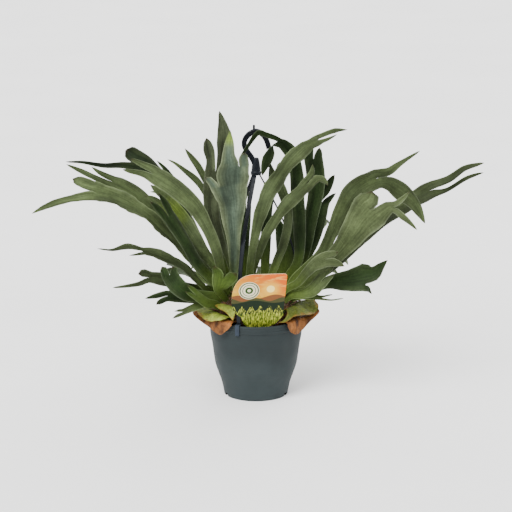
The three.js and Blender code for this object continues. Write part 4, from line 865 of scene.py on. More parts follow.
          left=[(-26, 82, 294, 7), (-20, 88, 306, 4), (-18, 94, 314, 0.9)],
          right=[(-48, 82, 296, 7), (-54, 90, 310, 4), (-56, 98, 318, 0.9)]),
    frond("antler_rear_right_tall", "mid", (0.2, 0.95, 0.2), phase=3.4,
          stem=[(38, 20, 146, 5), (48, 38, 172, 6), (64, 62, 203, 8), (86, 82, 228, 12),
                (94, 92, 244, 15)],
          left=[(100, 102, 244, 6), (107, 112, 238, 3.5), (112, 120, 230, 0.9)],
          right=[(90, 102, 262, 7), (86, 110, 274, 4), (84, 116, 280, 0.9)]),
    frond("antler_rear_right_reaching", "mid", (0.2, 0.6, 0.8), phase=4.3,
          stem=[(50, 14, 138, 5), (62, 24, 152, 6), (82, 38, 166, 7), (102, 55, 178, 9),
                (119, 74, 188, 11)],
          left=[(129, 92, 184, 5), (137, 104, 176, 3), (141, 116, 166, 0.9)],
          right=[(132, 80, 194, 5), (140, 86, 196, 3), (147, 92, 192, 0.9)]),
    frond("antler_rear_drooping", "dark", (0, 0.5, 0.85), phase=5.3,
          stem=[(0, 22, 140, 5), (6, 50, 164, 7), (12, 80, 172, 10), (16, 108, 164, 13)],
          left=[(8, 128, 150, 6), (2, 142, 132, 3.5), (0, 148, 116, 0.9)],
          right=[(32, 126, 150, 6), (40, 138, 134, 3.5), (44, 144, 120, 0.9)]),
    frond("antler_rear_left_arching", "pale", (-0.1, 0.6, 0.8), phase=0.8,
          stem=[(-36, 16, 140, 5), (-48, 38, 164, 6), (-60, 70, 180, 9), (-70, 98, 182, 13)],
          left=[(-84, 114, 176, 6), (-94, 126, 166, 3.5), (-100, 134, 154, 0.9)],
          right=[(-60, 118, 178, 6), (-56, 134, 168, 3.5), (-54, 144, 156, 0.9)]),
    frond("antler_rear_right_low", "mid", (0.2, 0.6, 0.8), phase=1.8,
          stem=[(44, 20, 138, 5), (54, 38, 154, 6), (76, 66, 166, 9), (96, 94, 168, 12)],
          left=[(100, 112, 162, 6), (102, 128, 148, 3.5), (100, 138, 136, 0.9)],
          right=[(114, 104, 162, 5), (126, 112, 152, 0.9)]),
]


def fanned(x, y, z, half, roll=0):
    """The crown fans out in depth, and each point slides along the sight line from the front."""
    out = max(0.0, (math.hypot(x, z - FAN["height"]) - FAN["start"]) / FAN["reach"])
    depth = y * FAN["gain"] * out
    x, y, z = x * (1 + depth / FAN["distance"]), y + depth, z - FAN["slope"] * depth
    return np.array([x, y, z, half, roll])


class Growth:
    """Grows one frond's sheet, strap by strap."""

    def __init__(self, form, settings):
        self.form, self.sheet = form, Sheet()
        self.fine = settings.fineness
        self.spacing = settings.row_spacing / MM
        self.ruffle = settings.ruffle / MM
        facing = unit(np.array(form.facing, float))
        cells = BLADE_CELLS * self.fine
        self.grow(form.tree, cells, (0.0, 1.0), None, None, 0.0, facing)

    def grow(self, tree, cells, lanes, start, row, run, facing):
        """Rows along a strap, then along the two that it forks into."""
        points = [fanned(*point) for point in tree.points]
        slope = None
        if start:
            points.insert(0, np.array([*start.centre, start.half, start.roll]))
            reach = np.linalg.norm(points[1][:3] - start.centre)
            slope = np.array([*(start.tangent * reach), points[1][3] - start.half, 0])
        points = np.array(points)
        spans = np.linalg.norm(np.diff(points[:, :3], axis=0), axis=1)
        ends = np.concatenate(([0], np.cumsum(spans)))
        for state, run, t in self.frames(points, spans, slope, start, run, facing):
            rest = None if tree.left else ends[-1] - np.interp(t, range(len(ends)), ends)
            made = self.row(state, cells, lanes, run, rest)
            if row:
                self.sheet.join(row, made)
            row = made
        if not tree.left:
            return
        split = tree.cells * self.fine
        share = split / cells
        middle = lanes[0] + (lanes[1] - lanes[0]) * share
        sideways = turned(state.across, state.tangent, math.radians(state.roll))
        for child, low, high, count, part, lane in (
                (tree.left, -0.5, share - 0.5, split, row[:split + 1], (lanes[0], middle)),
                (tree.right, share - 0.5, 0.5, cells - split, row[split:], (middle, lanes[1]))):
            begin = state._replace(centre=state.centre + sideways * state.half * (low + high),
                                   half=state.half * (high - low))
            self.grow(child, count, lane, begin, part, run, facing)

    def frames(self, points, spans, slope, start, run, facing):
        """State, run and place on the curve at each row. The side is carried on in short steps."""
        across, before = (start.across if start else None), points[0][:3]
        for span, reach in enumerate(spans):
            rows = max(1, round(reach / self.spacing))
            for r in range(0 if start is None and span == 0 else 1, rows + 1):
                steps = max(1, round(reach / rows / FRAME_STEP)) if r else 1
                for step in range(1, steps + 1):
                    t = span + (r - 1 + step / steps) / rows if r else 0
                    here = smooth(points, t, slope)
                    ahead = smooth(points, min(t + SLOPE_STEP, len(points) - 1), slope)
                    behind = smooth(points, max(t - SLOPE_STEP, 0), slope)
                    tangent = unit((ahead - behind)[:3])
                    if across is None:
                        across = np.cross(tangent, facing)
                    across = unit(across - tangent * np.dot(across, tangent))
                    run += np.linalg.norm(here[:3] - before)
                    before = here[:3]
                half = max(here[3], LEAST_HALF_WIDTH)
                yield State(here[:3], tangent, across, half, here[4]), run, t

    def row(self, state, cells, lanes, run, rest):
        """One row across: cupped, waved and ruffled at the edges, rounded off at a lobe's end."""
        across = turned(state.across, state.tangent, math.radians(state.roll))
        up = unit(np.cross(across, state.tangent))
        fade = min(run / STIPE_LENGTH, 1)
        thick, thin = BLADE_THICKNESS
        half = (thick + (thin - thick) * fade) / 2
        width = state.half * self.outline(state, run, rest, fade)
        swing = min(EDGE_WAVE, EDGE_WAVE_SHARE * state.half) * fade
        turns = 2 * math.pi * run / EDGE_WAVE_LENGTH + self.form.phase
        ruffle = min(self.ruffle, RUFFLE_SHARE * state.half) * fade
        row = []
        for i in range(cells + 1):
            u = -1 + 2 * i / cells
            side = EDGE_WAVE_SHIFT if u > 0 else 0
            wave = swing * u * u * math.sin(turns + side)
            small = 2 * math.pi * run / RUFFLE_LENGTH + 3 * self.form.phase + 2 * side
            wave += ruffle * u ** 4 * math.sin(small)
            point = (state.centre + across * u * width
                     + up * (self.form.cup * state.half * u * u + wave))
            normal = unit(up - across * 2 * self.form.cup * u)
            facts = (lanes[0] + (lanes[1] - lanes[0]) * i / cells, run / UV_LENGTH,
                     NO_TIP if rest is None else rest, u)
            row.append(self.sheet.vertex(point, normal, half * (1 - EDGE_THINNING * u * u), facts))
        return row

    def outline(self, state, run, rest, fade):
        """Share of the half width that is left where a lobe rounds off, with a slightly uneven edge."""
        uneven = noise.noise(Vector((run / UNEVEN_LENGTH, self.form.phase * 7, state.half / 9)))
        share = 1 + EDGE_UNEVENNESS * fade * uneven
        if rest is not None and rest < state.half * LOBE_ROUNDING:
            left = 1 - (1 - rest / (state.half * LOBE_ROUNDING)) ** 2
            share *= math.sqrt(max(left, LEAST_ROUNDING))
        return share


TINT_LENGTH = 45
TINT_DRIFT = 0.6
# painted shade and light across a blade: one half darker and the other lighter, as a fold is lit
FOLD_SHADE_TILT = 0.3
CROWN_SHADE = 0.15
CROWN_SHADE_LENGTH = 110

# what is blended into a blade's colour, with places across counted in half widths
HEM = {"grey": 0.75, "other": 0.15, "start": 0.35, "width": 0.6, "drift": 0.6}
STIPE = {"share": 0.75, "start": 12, "fade": 66}
# GLOW paints light: a brighter green patch where light passes through the blade
GLOW = {"share": 0.85, "reach": 1.3}
TIP = {"share": 0.85, "length": 5}
EDGE = {"share": 0.9, "start": 0.88, "width": 0.06, "brightness": 1.5, "lift": 0.02}

# place, half width, brightness and share of the pale middle line and of the dark line near the edge
BLADE_LINES = ((0, 0.1, 1.3, 0.5), (0.84, 0.1, 0.66, 0.7))


def blade_tint(form, settings):
    """Colours by place: fresh at the crown, dry at the tips, uneven along and across a blade. Painted
    shade and light make one half of a blade darker than the other, painted shade darkens the part
    near the crown, and painted light brightens the glow patch.
    """
    top, under, crown, glow, hem, tip = (np.array(getattr(settings, name)) for name in (
        f"{form.tone}_top", f"{form.tone}_under", "crown", "glow", "hem", "tip"))
    hem_share = HEM["grey" if form.tone == "grey" else "other"]

    def tint(points, facts, side):
        # form.shade scales the colours: partly the frond's own tone, partly painted light and shade
        base = (top if side > 0 else under) * form.shade
        run, rest, u = facts[:, 1] * UV_LENGTH, facts[:, 2], facts[:, 3]
        off = np.abs(u)
        colours = np.repeat(base[None], len(points), axis=0)
        drift = np.array([noise.noise(Vector((r / TINT_LENGTH, w * 1.3, form.phase * 9)))
                          for r, w in zip(run, u)])
        colours *= (1 + TINT_DRIFT * drift)[:, None]
        # painted shade: one half of the blade darker than the other
        colours *= (1 + FOLD_SHADE_TILT * math.sin(5 * form.phase + 1) * u)[:, None]
        colours *= (1 - CROWN_SHADE * np.clip(1 - run / CROWN_SHADE_LENGTH, 0, 1))[:, None]

        def blend(target, share):
            nonlocal colours
            share = np.clip(share, 0, 1)[:, None]
            colours = colours * (1 - share) + target * share

        inwards = (off - HEM["start"]) / HEM["width"] + HEM["drift"] * drift
        blend(hem, hem_share * np.clip(inwards, 0, 1))
        blend(crown, STIPE["share"] * (1 - (run - STIPE["start"]) / STIPE["fade"]))
        # painted light: the glow patch
        if form.glow:
            x, z, radius = form.glow
            away = np.hypot(points[:, 0] - x, points[:, 2] - z) / radius
            blend(glow, GLOW["share"] * np.clip(GLOW["reach"] - away, 0, 1))
        for place, half, brightness, share in BLADE_LINES:
            blend(colours * brightness, share * (1 - np.abs(off - place) / half))
        blend(colours * EDGE["brightness"] + EDGE["lift"],
              EDGE["share"] * (off - EDGE["start"]) / EDGE["width"])
        blend(tip, TIP["share"] * (1 - rest / TIP["length"]))
        return colours

    return tint


SLOTS = {"mid": "frond", "dark": "frond_dark", "pale": "frond_pale", "grey": "frond_pale",
         "fresh": "frond", "slate": "frond_dark"}


class FERN_OT_fronds(bpy.types.Operator):
    """Build every antler frond as a thin, streaked, waved blade"""
    bl_idname = "fern.fronds"
    bl_label = "Build antler fronds"

    def execute(self, context):
        settings = context.scene.fern_fronds
        material = blade_material(settings)
        for form in FRONDS:
            sheet = Growth(form, settings).sheet
            piece = sheet.piece(f"{form.name}_blade", material, blade_tint(form, settings))
            settle(piece, SLOTS[form.tone], form.name)
        return {"FINISHED"}


# Shield fronds

SHIELD_ROWS = 6
COLUMN_SPACING = 7
FOLD_SPACING = 9
SWEEP_POWER = 6
HEM_SHARPNESS = 12
HEM_THICKNESS = 0.45
Shield = namedtuple("Shield", "name dry root shoulder lip hem sweep flute phase shade")


def shield(name, dry, root, shoulder, hem, lip=None, sweep=None, flute=2.5, phase=0, shade=1):
    """Root, shoulder and lip are [radius, height], and hem is [azimuth, radius, height]. Shade scales
    a green shield's colours: partly its own tone, partly painted light.
    """
    return Shield(name, dry, root, shoulder, lip, hem, sweep, flute, phase, shade)


SHIELDS = [
    shield("shield_right_brown", True, [50, 114], [62, 123.5], lip=[75, 123.5], hem=[
        [37, 75.5, 118], [41, 76, 111], [48, 77, 105], [56, 78, 106], [66, 84, 116], [76, 94, 128],
        [84, 92, 133]]),
    shield("shield_right_green", False, [46, 128], [61, 140], flute=1.5, sweep=[46, 90], hem=[
        [27, 71.5, 125], [36, 73.5, 126], [44, 78, 133], [58, 82, 131], [72, 90, 129],
        [82, 92, 138], [90, 86, 144]]),
    shield("shield_left_brown", True, [52, 116], [63, 125], lip=[75, 124], hem=[
        [-88, 86, 132], [-76, 94, 129], [-60, 84, 116], [-43, 77, 104], [-34, 76, 112],
        [-28, 75, 122]]),
    shield("shield_left_green", False, [50, 120], [62, 130], lip=[76, 132], phase=1, shade=2.6, hem=[
        [-86, 84, 139], [-72, 91, 134], [-54, 88, 124], [-42, 82, 127], [-34, 76, 132]]),
    shield("shield_left_tongue", False, [48, 136], [58, 145], flute=1, shade=2.2, hem=[
        [-56, 72, 145], [-46, 75, 143], [-36, 74, 139], [-28, 71, 128]]),
    shield("shield_rear_left", True, [46, 118], [60, 128], lip=[76, 126], hem=[
        [-136, 75, 118], [-124, 79, 108], [-110, 82, 112], [-100, 84, 124], [-92, 82, 132]]),
    shield("shield_back_left", False, [30, 124], [52, 136], lip=[72, 130], hem=[
        [-206, 76, 122], [-194, 80, 112], [-180, 79, 106], [-166, 82, 114], [-150, 75, 124]]),
    shield("shield_back_right", True, [36, 120], [56, 132], lip=[75, 126], phase=2, hem=[
        [103, 80, 130], [114, 84, 118], [126, 80, 108], [140, 80, 114], [149, 75, 124]]),
]


def shield_sheet(form, settings):
    """Rows from the root, over the shoulder and the rim, down to the hem, fluted and crinkled."""
    hem = np.array(form.hem, float)
    first, last = form.sweep or (hem[0][0], hem[-1][0])
    columns = max(6, round((last - first) / COLUMN_SPACING)) * settings.fineness
    rows = SHIELD_ROWS * settings.fineness
    crinkle = settings.crinkle / MM
    sheet = Sheet()

    def at(u, v):
        hem_azimuth, radius, height = smooth(hem, u * (len(hem) - 1))
        root_azimuth = first + (last - first) * u if form.sweep else hem_azimuth
        azimuth = root_azimuth + (hem_azimuth - root_azimuth) * v ** SWEEP_POWER
        way = [form.root, form.shoulder, form.lip, [radius, height]]
        line = np.array([stop for stop in way if stop], float)
        r, z = smooth(line, v * (len(line) - 1))
        ripple = form.flute * v * v * math.sin(azimuth / FOLD_SPACING + form.phase)
        spot = Vector((azimuth / 7, v * 2.4, form.phase + form.root[0]))
        fine = crinkle * v ** 1.5 * noise.fractal(spot, 1.0, 2.0, 3)
        return np.array(around(azimuth, r + 0.5 * abs(ripple) + fine, z + 0.5 * ripple + 0.6 * fine))

    before = None
    for r in range(rows + 1):
        row = []
        for c in range(columns + 1):
            u, v, step = c / columns, r / rows, WIDE_SLOPE_STEP
            along = at(min(u + step, 1), v) - at(max(u - step, 0), v)
            down = at(u, min(v + step, 1)) - at(u, max(v - step, 0))
            edge = min(min(u, 1 - u, 1 - v) * HEM_SHARPNESS, 1)
            half = settings.thickness / MM / 2 * (HEM_THICKNESS + (1 - HEM_THICKNESS) * edge)
            row.append(sheet.vertex(at(u, v), unit(np.cross(along, down)), half, (u, v, 0, 0)))
        if before:
            sheet.join(before, row)
        before = row
    return sheet


def shield_tint(form, settings):
    """Green shields dry to gold along the hem; dry ones darken towards the crown and in patches."""
    fresh, deep, rim, dry, dry_deep = (np.array(getattr(settings, name)) for name in (
        "fresh", "fresh_deep", "rim", "dry", "dry_deep"))

    def tint(points, facts, side):
        u, v = facts[:, 0], facts[:, 1]
        patch = np.array([noise.noise(Vector(p) / 9) for p in points])
        if form.dry:
            share = np.clip(0.25 + 1.3 * patch + 0.5 * (0.6 - v), 0, 1)[:, None]
            return dry * (1 - share) + dry_deep * share
        share = np.clip(1.15 - 1.3 * v + 0.4 * patch, 0, 1)[:, None]
        # form.shade: partly the shield's own tone, partly painted light
        colours = (fresh * (1 - share) + deep * share) * form.shade
        ends = np.minimum(u, 1 - u) * 1.6
        gold = np.clip((0.05 + 0.12 * patch - np.minimum(1 - v, ends)) / 0.06, 0, 0.8)[:, None]
        return colours * (1 - gold) + rim * gold

    return tint


class FERN_OT_shields(bpy.types.Operator):
    """Build the clasping shield fronds that hang over the rim"""
    bl_idname = "fern.shields"
    bl_label = "Build shield fronds"

    def execute(self, context):
        settings = context.scene.fern_shields
        material = shield_material()
        for form in SHIELDS:
            sheet = shield_sheet(form, settings)
            piece = sheet.piece(f"{form.name}_sheet", material, shield_tint(form, settings))
            settle(piece, "shield_brown" if form.dry else "shield_green", form.name)
        return {"FINISHED"}


# Repeats, by Geometry Nodes

SCATTER_LEAN = 0.5


class Tree(Nodes):
    """A Geometry Nodes tree: a geometry, the named inputs (kind, default) and a material."""

    def __init__(self, title, **inputs):
        self.group = bpy.data.node_groups.new(title, "GeometryNodeTree")
        new_socket = self.group.interface.new_socket
        new_socket("Geometry", in_out="OUTPUT", socket_type="NodeSocketGeometry")
        inputs = {"Geometry": ("Geometry", None), **inputs, "Material": ("Material", None)}
        for name, (kind, default) in inputs.items():
            socket = new_socket(name, in_out="INPUT", socket_type=f"NodeSocket{kind}")
            if default is not None:
                socket.default_value = default
        super().__init__(self.group)
        self.given = self.node("NodeGroupInput")

    def negative(self, value):
        return self.node("ShaderNodeMath", (value, -1), operation="MULTIPLY")[0]

    def finish(self, copies):
        """Ends the tree: the copies made real, in the material given."""
        real = self.node("GeometryNodeRealizeInstances", [copies])[0]
        inputs = {"Geometry": real, "Material": self.given["Material"]}
        self.node("NodeGroupOutput", [self.node("GeometryNodeSetMaterial", inputs)[0]])
        return self.group


def grown(name, ground, tree, **inputs):
    """A plain mesh of what a tree makes on ground. Ground and objects given as inputs go."""
    modifier = ground.modifiers.new(tree.name, "NODES")
    modifier.node_group = tree
    sockets = {s.name: s.identifier for s in tree.interface.items_tree if s.in_out == "INPUT"}
    for key, value in inputs.items():
        modifier[sockets[key]] = value
    depsgraph = bpy.context.evaluated_depsgraph_get()
    mesh = bpy.data.meshes.new_from_object(ground.evaluated_get(depsgraph))
    ground.modifiers.remove(modifier)
    for helper in (ground, *(v for v in inputs.values() if isinstance(v, bpy.types.Object))):
        bpy.data.objects.remove(helper)
    if not mesh.polygons:
        raise RuntimeError(f"{name}: the tree placed nothing")
    return add_object(name, mesh)


def scatter_tree():
    """Copies of one object on a surface: seeded places, turns and sizes."""
    tree = Tree("Scatter on surface", Copy=("Object", None), Density=("Float", 1000.0),
                Seed=("Int", 1), Smallest=("Float", 0.6), Largest=("Float", 1.2), Lean=("Float", 0.4))
    given = tree.given
    seed, lean = given["Seed"], given["Lean"]
    points = tree.node("GeometryNodeDistributePointsOnFaces",
                       {"Mesh": given["Geometry"], "Density": given["Density"], "Seed": seed})
    copy = tree.node("GeometryNodeObjectInfo", {"Object": given["Copy"]})["Geometry"]
    size = tree.node("FunctionNodeRandomValue",
                     {2: given["Smallest"], 3: given["Largest"], "Seed": seed})[1]
    placed = tree.node("GeometryNodeInstanceOnPoints",
                       {"Points": points["Points"], "Instance": copy,
                        "Rotation": points["Rotation"], "Scale": size})[0]
    back = tree.node("ShaderNodeCombineXYZ", [tree.negative(lean)] * 2)[0]
    spin = tree.node("ShaderNodeCombineXYZ", (lean, lean, 2 * math.pi))[0]
    turn = tree.node("FunctionNodeRandomValue", {0: back, 1: spin, "Seed": seed},
                     data_type="FLOAT_VECTOR")[0]
    return tree.finish(
        tree.node("GeometryNodeRotateInstances", {"Instances": placed, "Rotation": turn})[0])


def scattered(name, ground, copy, count, **inputs):
    """About count copies on ground. Ground and copy are removed."""
    tree = bpy.data.node_groups.get("Scatter on surface") or scatter_tree()
    area = sum(face.area for face in ground.data.polygons)
    return grown(name, ground, tree, Copy=copy, Density=count / area, Lean=SCATTER_LEAN, **inputs)


# Rhizome and growing mix

# (x, y, z, half width, half depth, half height) of each growing point
CROWNS = [(-46, -6, 126, 21, 24, 36), (-6, 2, 124, 26, 27, 44), (40, 0, 126, 23, 26, 40)]
CROWN_FLOOR = 109.4
CROWN_VOXEL = 2.2
CROWN_ROUGHNESS = 1.1
MIX_FLOOR = 3.4
MIX_TOP = 108.2
MIX_INSET = 2.9
MIX_SIDE = (MIX_FLOOR, 21, 34, 46, 60, 78, 92, 102)
MIX_ROUGH_ABOVE = 103
MIX_ROUGHNESS = 0.8

# radius and height of the edge, step inwards, rise and number of rings of two flat domes: the top
# of the mix and the ground that the chips are scattered on
MIX_DOME = {"radius": 52, "height": 105.6, "step": 4, "rise": 2.4, "rings": 13}
CHIP_GROUND = {"radius": 60, "height": 103.6, "step": 7, "rise": 4.8, "rings": 8}


def crown_body(material):
    """Three ellipsoids grown together and roughened, flat where they stand on the mix."""
    made = bmesh.new()
    for x, y, z, a, b, c in CROWNS:
        place = (Matrix.Translation(Vector((x, y, z)) * MM)
                 @ Matrix.Diagonal((a * MM, b * MM, c * MM, 1)))
        bmesh.ops.create_icosphere(made, subdivisions=4, radius=0.97, matrix=place)
    body = add_shape("rhizome_clump", made)
    remesh = body.modifiers.new("Remesh", "REMESH")
    remesh.mode, remesh.voxel_size, remesh.use_smooth_shade = "VOXEL", CROWN_VOXEL * MM, True
    whole = bake(body, remesh)
    for vertex in whole.vertices:
        rough = noise.fractal(vertex.co * 160, 1.0, 2.0, 3)
        vertex.co += vertex.normal * rough * CROWN_ROUGHNESS * MM
        vertex.co.z = max(vertex.co.z, CROWN_FLOOR * MM)
    whole.materials.append(material)
    return body


def scale_shape(size):
    """A slender three-sided scale that leans over."""
    points = [(0.09, 0, -0.05), (-0.05, 0.08, -0.05), (-0.05, -0.08, -0.05), (0.12, 0, 0.5),
              (0.03, 0.05, 0.5), (0.03, -0.05, 0.5), (0.32, 0, 1)]
    faces = [(0, 2, 1), (0, 1, 4, 3), (1, 2, 5, 4), (2, 0, 3, 5), (3, 4, 6), (4, 5, 6), (5, 3, 6)]
    return new_piece("scale_shape", [[v * size for v in p] for p in points], faces)


def chip_shape(size):
    """A flat, uneven chip of bark."""
    made = bmesh.new()
    bmesh.ops.create_icosphere(made, subdivisions=1, radius=size / 2)
    for vertex in made.verts:
        vertex.co *= 1 + 0.45 * noise.noise(vertex.co * 310)
        vertex.co.z *= 0.42
        vertex.co.y *= 0.7
    return add_shape("chip_shape", made)


def dome(radius, height, step, rise, rings):
    """Rings of a flat dome in metres, from its edge inwards."""
    return [((radius - step * k) * MM, (height + rise * k / rings) * MM) for k in range(rings)]


class FERN_OT_crown(bpy.types.Operator):
    """Build the furry rhizome"""
    bl_idname = "fern.crown"
    bl_label = "Build rhizome"

    def execute(self, context):
        settings = context.scene.fern_crown
        material = scale_material(settings)
        body = crown_body(material)
        ground = add_object("scale_ground", body.data.copy())
        scales = scattered("rhizome_scales", ground, scale_shape(settings.scale_length),
                           settings.scales, Seed=3, Smallest=0.6, Largest=1.2, Material=material)
        for vertex in scales.data.vertices:
            vertex.co.z = max(vertex.co.z, CROWN_FLOOR * MM)
        settle(body, "rhizome", "rhizome")
        settle(scales, "rhizome")
        return {"FINISHED"}


class FERN_OT_mix(bpy.types.Operator):
    """Fill the pot with bark mix"""
    bl_idname = "fern.mix"
    bl_label = "Fill pot"

    def execute(self, context):
        settings = context.scene.fern_crown
        material = bark_material(settings)
        floor, middle = (0, MIX_FLOOR * MM), (0, MIX_TOP * MM)
        side = [((pot_radius(z) - MIX_INSET) * MM, z * MM) for z in MIX_SIDE]
        profile = [floor, *side, *dome(**MIX_DOME), middle]
        plug = new_piece("potting_mix_plug", *lathe(profile, 96), material)
        for vertex in plug.data.vertices:
            if vertex.co.z > MIX_ROUGH_ABOVE * MM:
                vertex.co.z += MIX_ROUGHNESS * MM * noise.fractal(vertex.co * 190, 1.0, 2.0, 3)
        ground = new_piece("mix_ground", *lathe([*dome(**CHIP_GROUND), middle], 48))
        chips = scattered("bark_chips", ground, chip_shape(settings.chip_size), settings.chips,
                          Seed=11, Smallest=0.45, Largest=1.15, Material=material)
        settle(plug, "soil", "potting_mix")
        settle(chips, "soil")
        return {"FINISHED"}


# Pot

# (radius, height) up the wall and around the lip
POT_PROFILE = [(47.4, 0), (48.9, 9), (51.8, 21), (56.2, 33.5), (60.3, 46), (62.6, 60), (65, 78),
               (67.6, 92), (68.6, 107)]
LIP_PROFILE = [(69.2, 107.6), (69.9, 108.6), (70, 109.6), (70, 111.6), (69.65, 111.9), (69.65, 112.4),
               (70, 112.7), (70, 115.4), (69.7, 115.7), (69.7, 116.1), (70, 116.4), (69.95, 118.4),
               (69.5, 119.5), (68.8, 120), (68, 119.8), (67.5, 119.2), (67.4, 118), (67.4, 108.4)]
POT_FLOOR = 3
POT_FOOT = [(0, 0), (30, 0), (47, 0), (47.3, 0.4)]
POT_INSIDE = (104, 92, 78, 60, 46, 33.5, 21, POT_FLOOR)
POT_STEPS = 4
NOTCH_AZIMUTHS = (-114, -66, 66, 114)


def pot_radius(height):
    """Outer radius of the pot's wall at a height."""
    return float(np.interp(height, [z for _, z in POT_PROFILE], [r for r, _ in POT_PROFILE]))


def pot_outline(settings):
    """The wall from the axis under the floor, out, up, over the lip and back down inside."""
    wall = np.array(POT_PROFILE, float)
    body = [smooth(wall, k / POT_STEPS) for k in range(1, POT_STEPS * (len(wall) - 1) + 1)]
    inner = [(pot_radius(z) - settings.wall / MM, z) for z in POT_INSIDE]
    across = settings.rim_radius / max(r for r, _ in LIP_PROFILE)
    up = settings.height / max(z for _, z in LIP_PROFILE)
    return [(r * across, z * up) for r, z in (*POT_FOOT, *body, *LIP_PROFILE, *inner, (0, POT_FLOOR))]


class FERN_OT_pot(bpy.types.Operator):
    """Build the moulded pot with its lip and drain notches"""
    bl_idname = "fern.pot"
    bl_label = "Build pot"

    def execute(self, context):
        settings = context.scene.fern_pot
        outline = lathe(pot_outline(settings), settings.sides)
        pot = new_piece("hanging_pot_shell", *outline, pot_material(settings))
        made = bmesh.new()
        width, depth, height = (v * MM for v in NOTCH)
        for azimuth in NOTCH_AZIMUTHS:
            place = (Matrix.Translation(around(azimuth, POT_PROFILE[0][0] * MM, 0))
                     @ Matrix.Rotation(math.radians(azimuth), 4, "Z")
                     @ Matrix.Diagonal((width, depth, 2 * height, 1)))
            bmesh.ops.create_cube(made, size=1, matrix=place)
        cutter = add_shape("notches", made)
        cut = pot.modifiers.new("Notches", "BOOLEAN")
        cut.object, cut.solver = cutter, "EXACT"
        bake(pot, cut)
        bpy.data.objects.remove(cutter)
        sharpen(pot, 28)
        settle(pot, "pot", "hanging_pot")
        return {"FINISHED"}


# Hanger

COLLAR_BOTTOM = 331
HOOK_PATH = [(0, 336), (-1, 345), (-6, 356), (-13, 366), (-17, 375), (-15.5, 384), (-9, 391.5),
             (0, 395), (9, 391), (15, 382.5), (19, 370)]
HOOK_STEPS = 96

# the channel sunk into the hook's bar, how far its mouth flares sideways and inwards, the ribs in
# it and the short stub on the hook's top
CHANNEL = {"wall": 1.5, "depth": 2.4, "corner": 1.3}
CHANNEL_LIP = (0.1, 0.2)
RIB = {"first_step": 22, "thickness": 0.9, "margin": 2.4, "depth": 1.3}
STUB = {"x": -3, "low": 396.5, "high": 404.4, "width": 3.4, "corner": 0.8}

COLLAR_PROFILE = [(0, 0), (7.2, 0), (7.6, 0.4), (7.85, 4), (7.7, 4.6), (7.2, 4.9), (6.8, 5.6), (6.6, 8),
                  (6.2, 12), (5.7, 16), (5, 20), (4.4, 23), (3.9, 24.6), (3.4, 25), (0, 25)]
ARM_AZIMUTHS = {"front": -22.5, "right": 97.5, "back": -142.5}
ARM_TOP_RADIUS = 5.5
ARM_TOP = 330.65
ARM_FOOT = 120.35
ARM_OVERLAP = 1.1
ARM_BOW = 17
ARM_STEPS = 40
ARM_CORNER = 0.7
CLIP = {"width": 6.4, "plate": 1.8, "outside": 105, "inside": 110, "outer": 70.35, "inner": 66.75,
        "edge": 0.35}


def swept(name, frames, section, material):
    """A closed bar: the section's (a, b) points along the two side vectors of each frame."""
    points, faces, rings = [], [], []
    for centre, first, second in frames:
        rings.append([len(points) + k for k in range(len(section))])
        points += [(centre + first * a + second * b) * MM for a, b in section]
    count = len(section)
    for low, high in zip(rings, rings[1:]):
        faces += [(low[k], low[(k + 1) % count], high[(k + 1) % count], high[k]) for k in range(count)]
    faces += [tuple(reversed(rings[0])), tuple(rings[-1])]
    if not points_outward(np.array([tuple(p) for p in points]), faces):
        faces = [face[::-1] for face in faces]
    return new_piece(name, points, faces, material)


def rounded(width, depth, corner, steps=3):
    """A rectangle's outline with round corners."""
    outline = []
    for cx, cy, start in ((1, 1, 0), (-1, 1, 90), (-1, -1, 180), (1, -1, 270)):
        for k in range(steps + 1):
            angle = math.radians(start + 90 * k / steps)
            outline.append((cx * (width / 2 - corner) + corner * math.cos(angle),
                            cy * (depth / 2 - corner) + corner * math.sin(angle)))
    return outline


def channel(size, wall, depth, corner):
    """A square bar's outline with a channel sunk into its -b side."""
    half = size / 2
    inner = half - wall
    out, up = CHANNEL_LIP
    return [(half - corner, half), (corner - half, half), (-half, half - corner),
            (-half, corner - half), (corner - half, -half), (-inner - out, -half),
            (-inner, -half + up), (-inner, depth - half), (inner, depth - half),
            (inner, -half + up), (inner + out, -half), (half - corner, -half),
            (half, corner - half), (half, half - corner)]


def hook_frames():
    """Places along the hook's path with the side vectors in its plane and out of it."""
    path = np.array([(x, 0, z) for x, z in HOOK_PATH], float)
    out, frames = Vector((0, 1, 0)), []
    for k in range(HOOK_STEPS + 1):
        t = (len(path) - 1) * k / HOOK_STEPS
        ahead = smooth(path, min(t + WIDE_SLOPE_STEP, len(path) - 1))
        behind = smooth(path, max(t - WIDE_SLOPE_STEP, 0))
        tangent = Vector(ahead - behind).normalized()
        frames.append((Vector(smooth(path, t)), out.cross(tangent), out))
    return frames


def arm_frames(azimuth):
    """Places down a bowed arm, with the side vectors outwards and sideways."""
    foot = CLIP["inner"] - CLIP["plate"] + ARM_OVERLAP
    sideways = around(azimuth + 90, 1, 0)
    frames = []

    def spot(t):
        radius = ARM_TOP_RADIUS + (foot - ARM_TOP_RADIUS) * t + ARM_BOW * math.sin(math.pi * t)
        return around(azimuth, radius, ARM_TOP + (ARM_FOOT - ARM_TOP) * t)

    for k in range(ARM_STEPS + 1):
        t = k / ARM_STEPS
        tangent = (spot(min(t + SLOPE_STEP, 1)) - spot(max(t - SLOPE_STEP, 0))).normalized()
        frames.append((spot(t), sideways.cross(tangent).normalized(), sideways))
    return frames


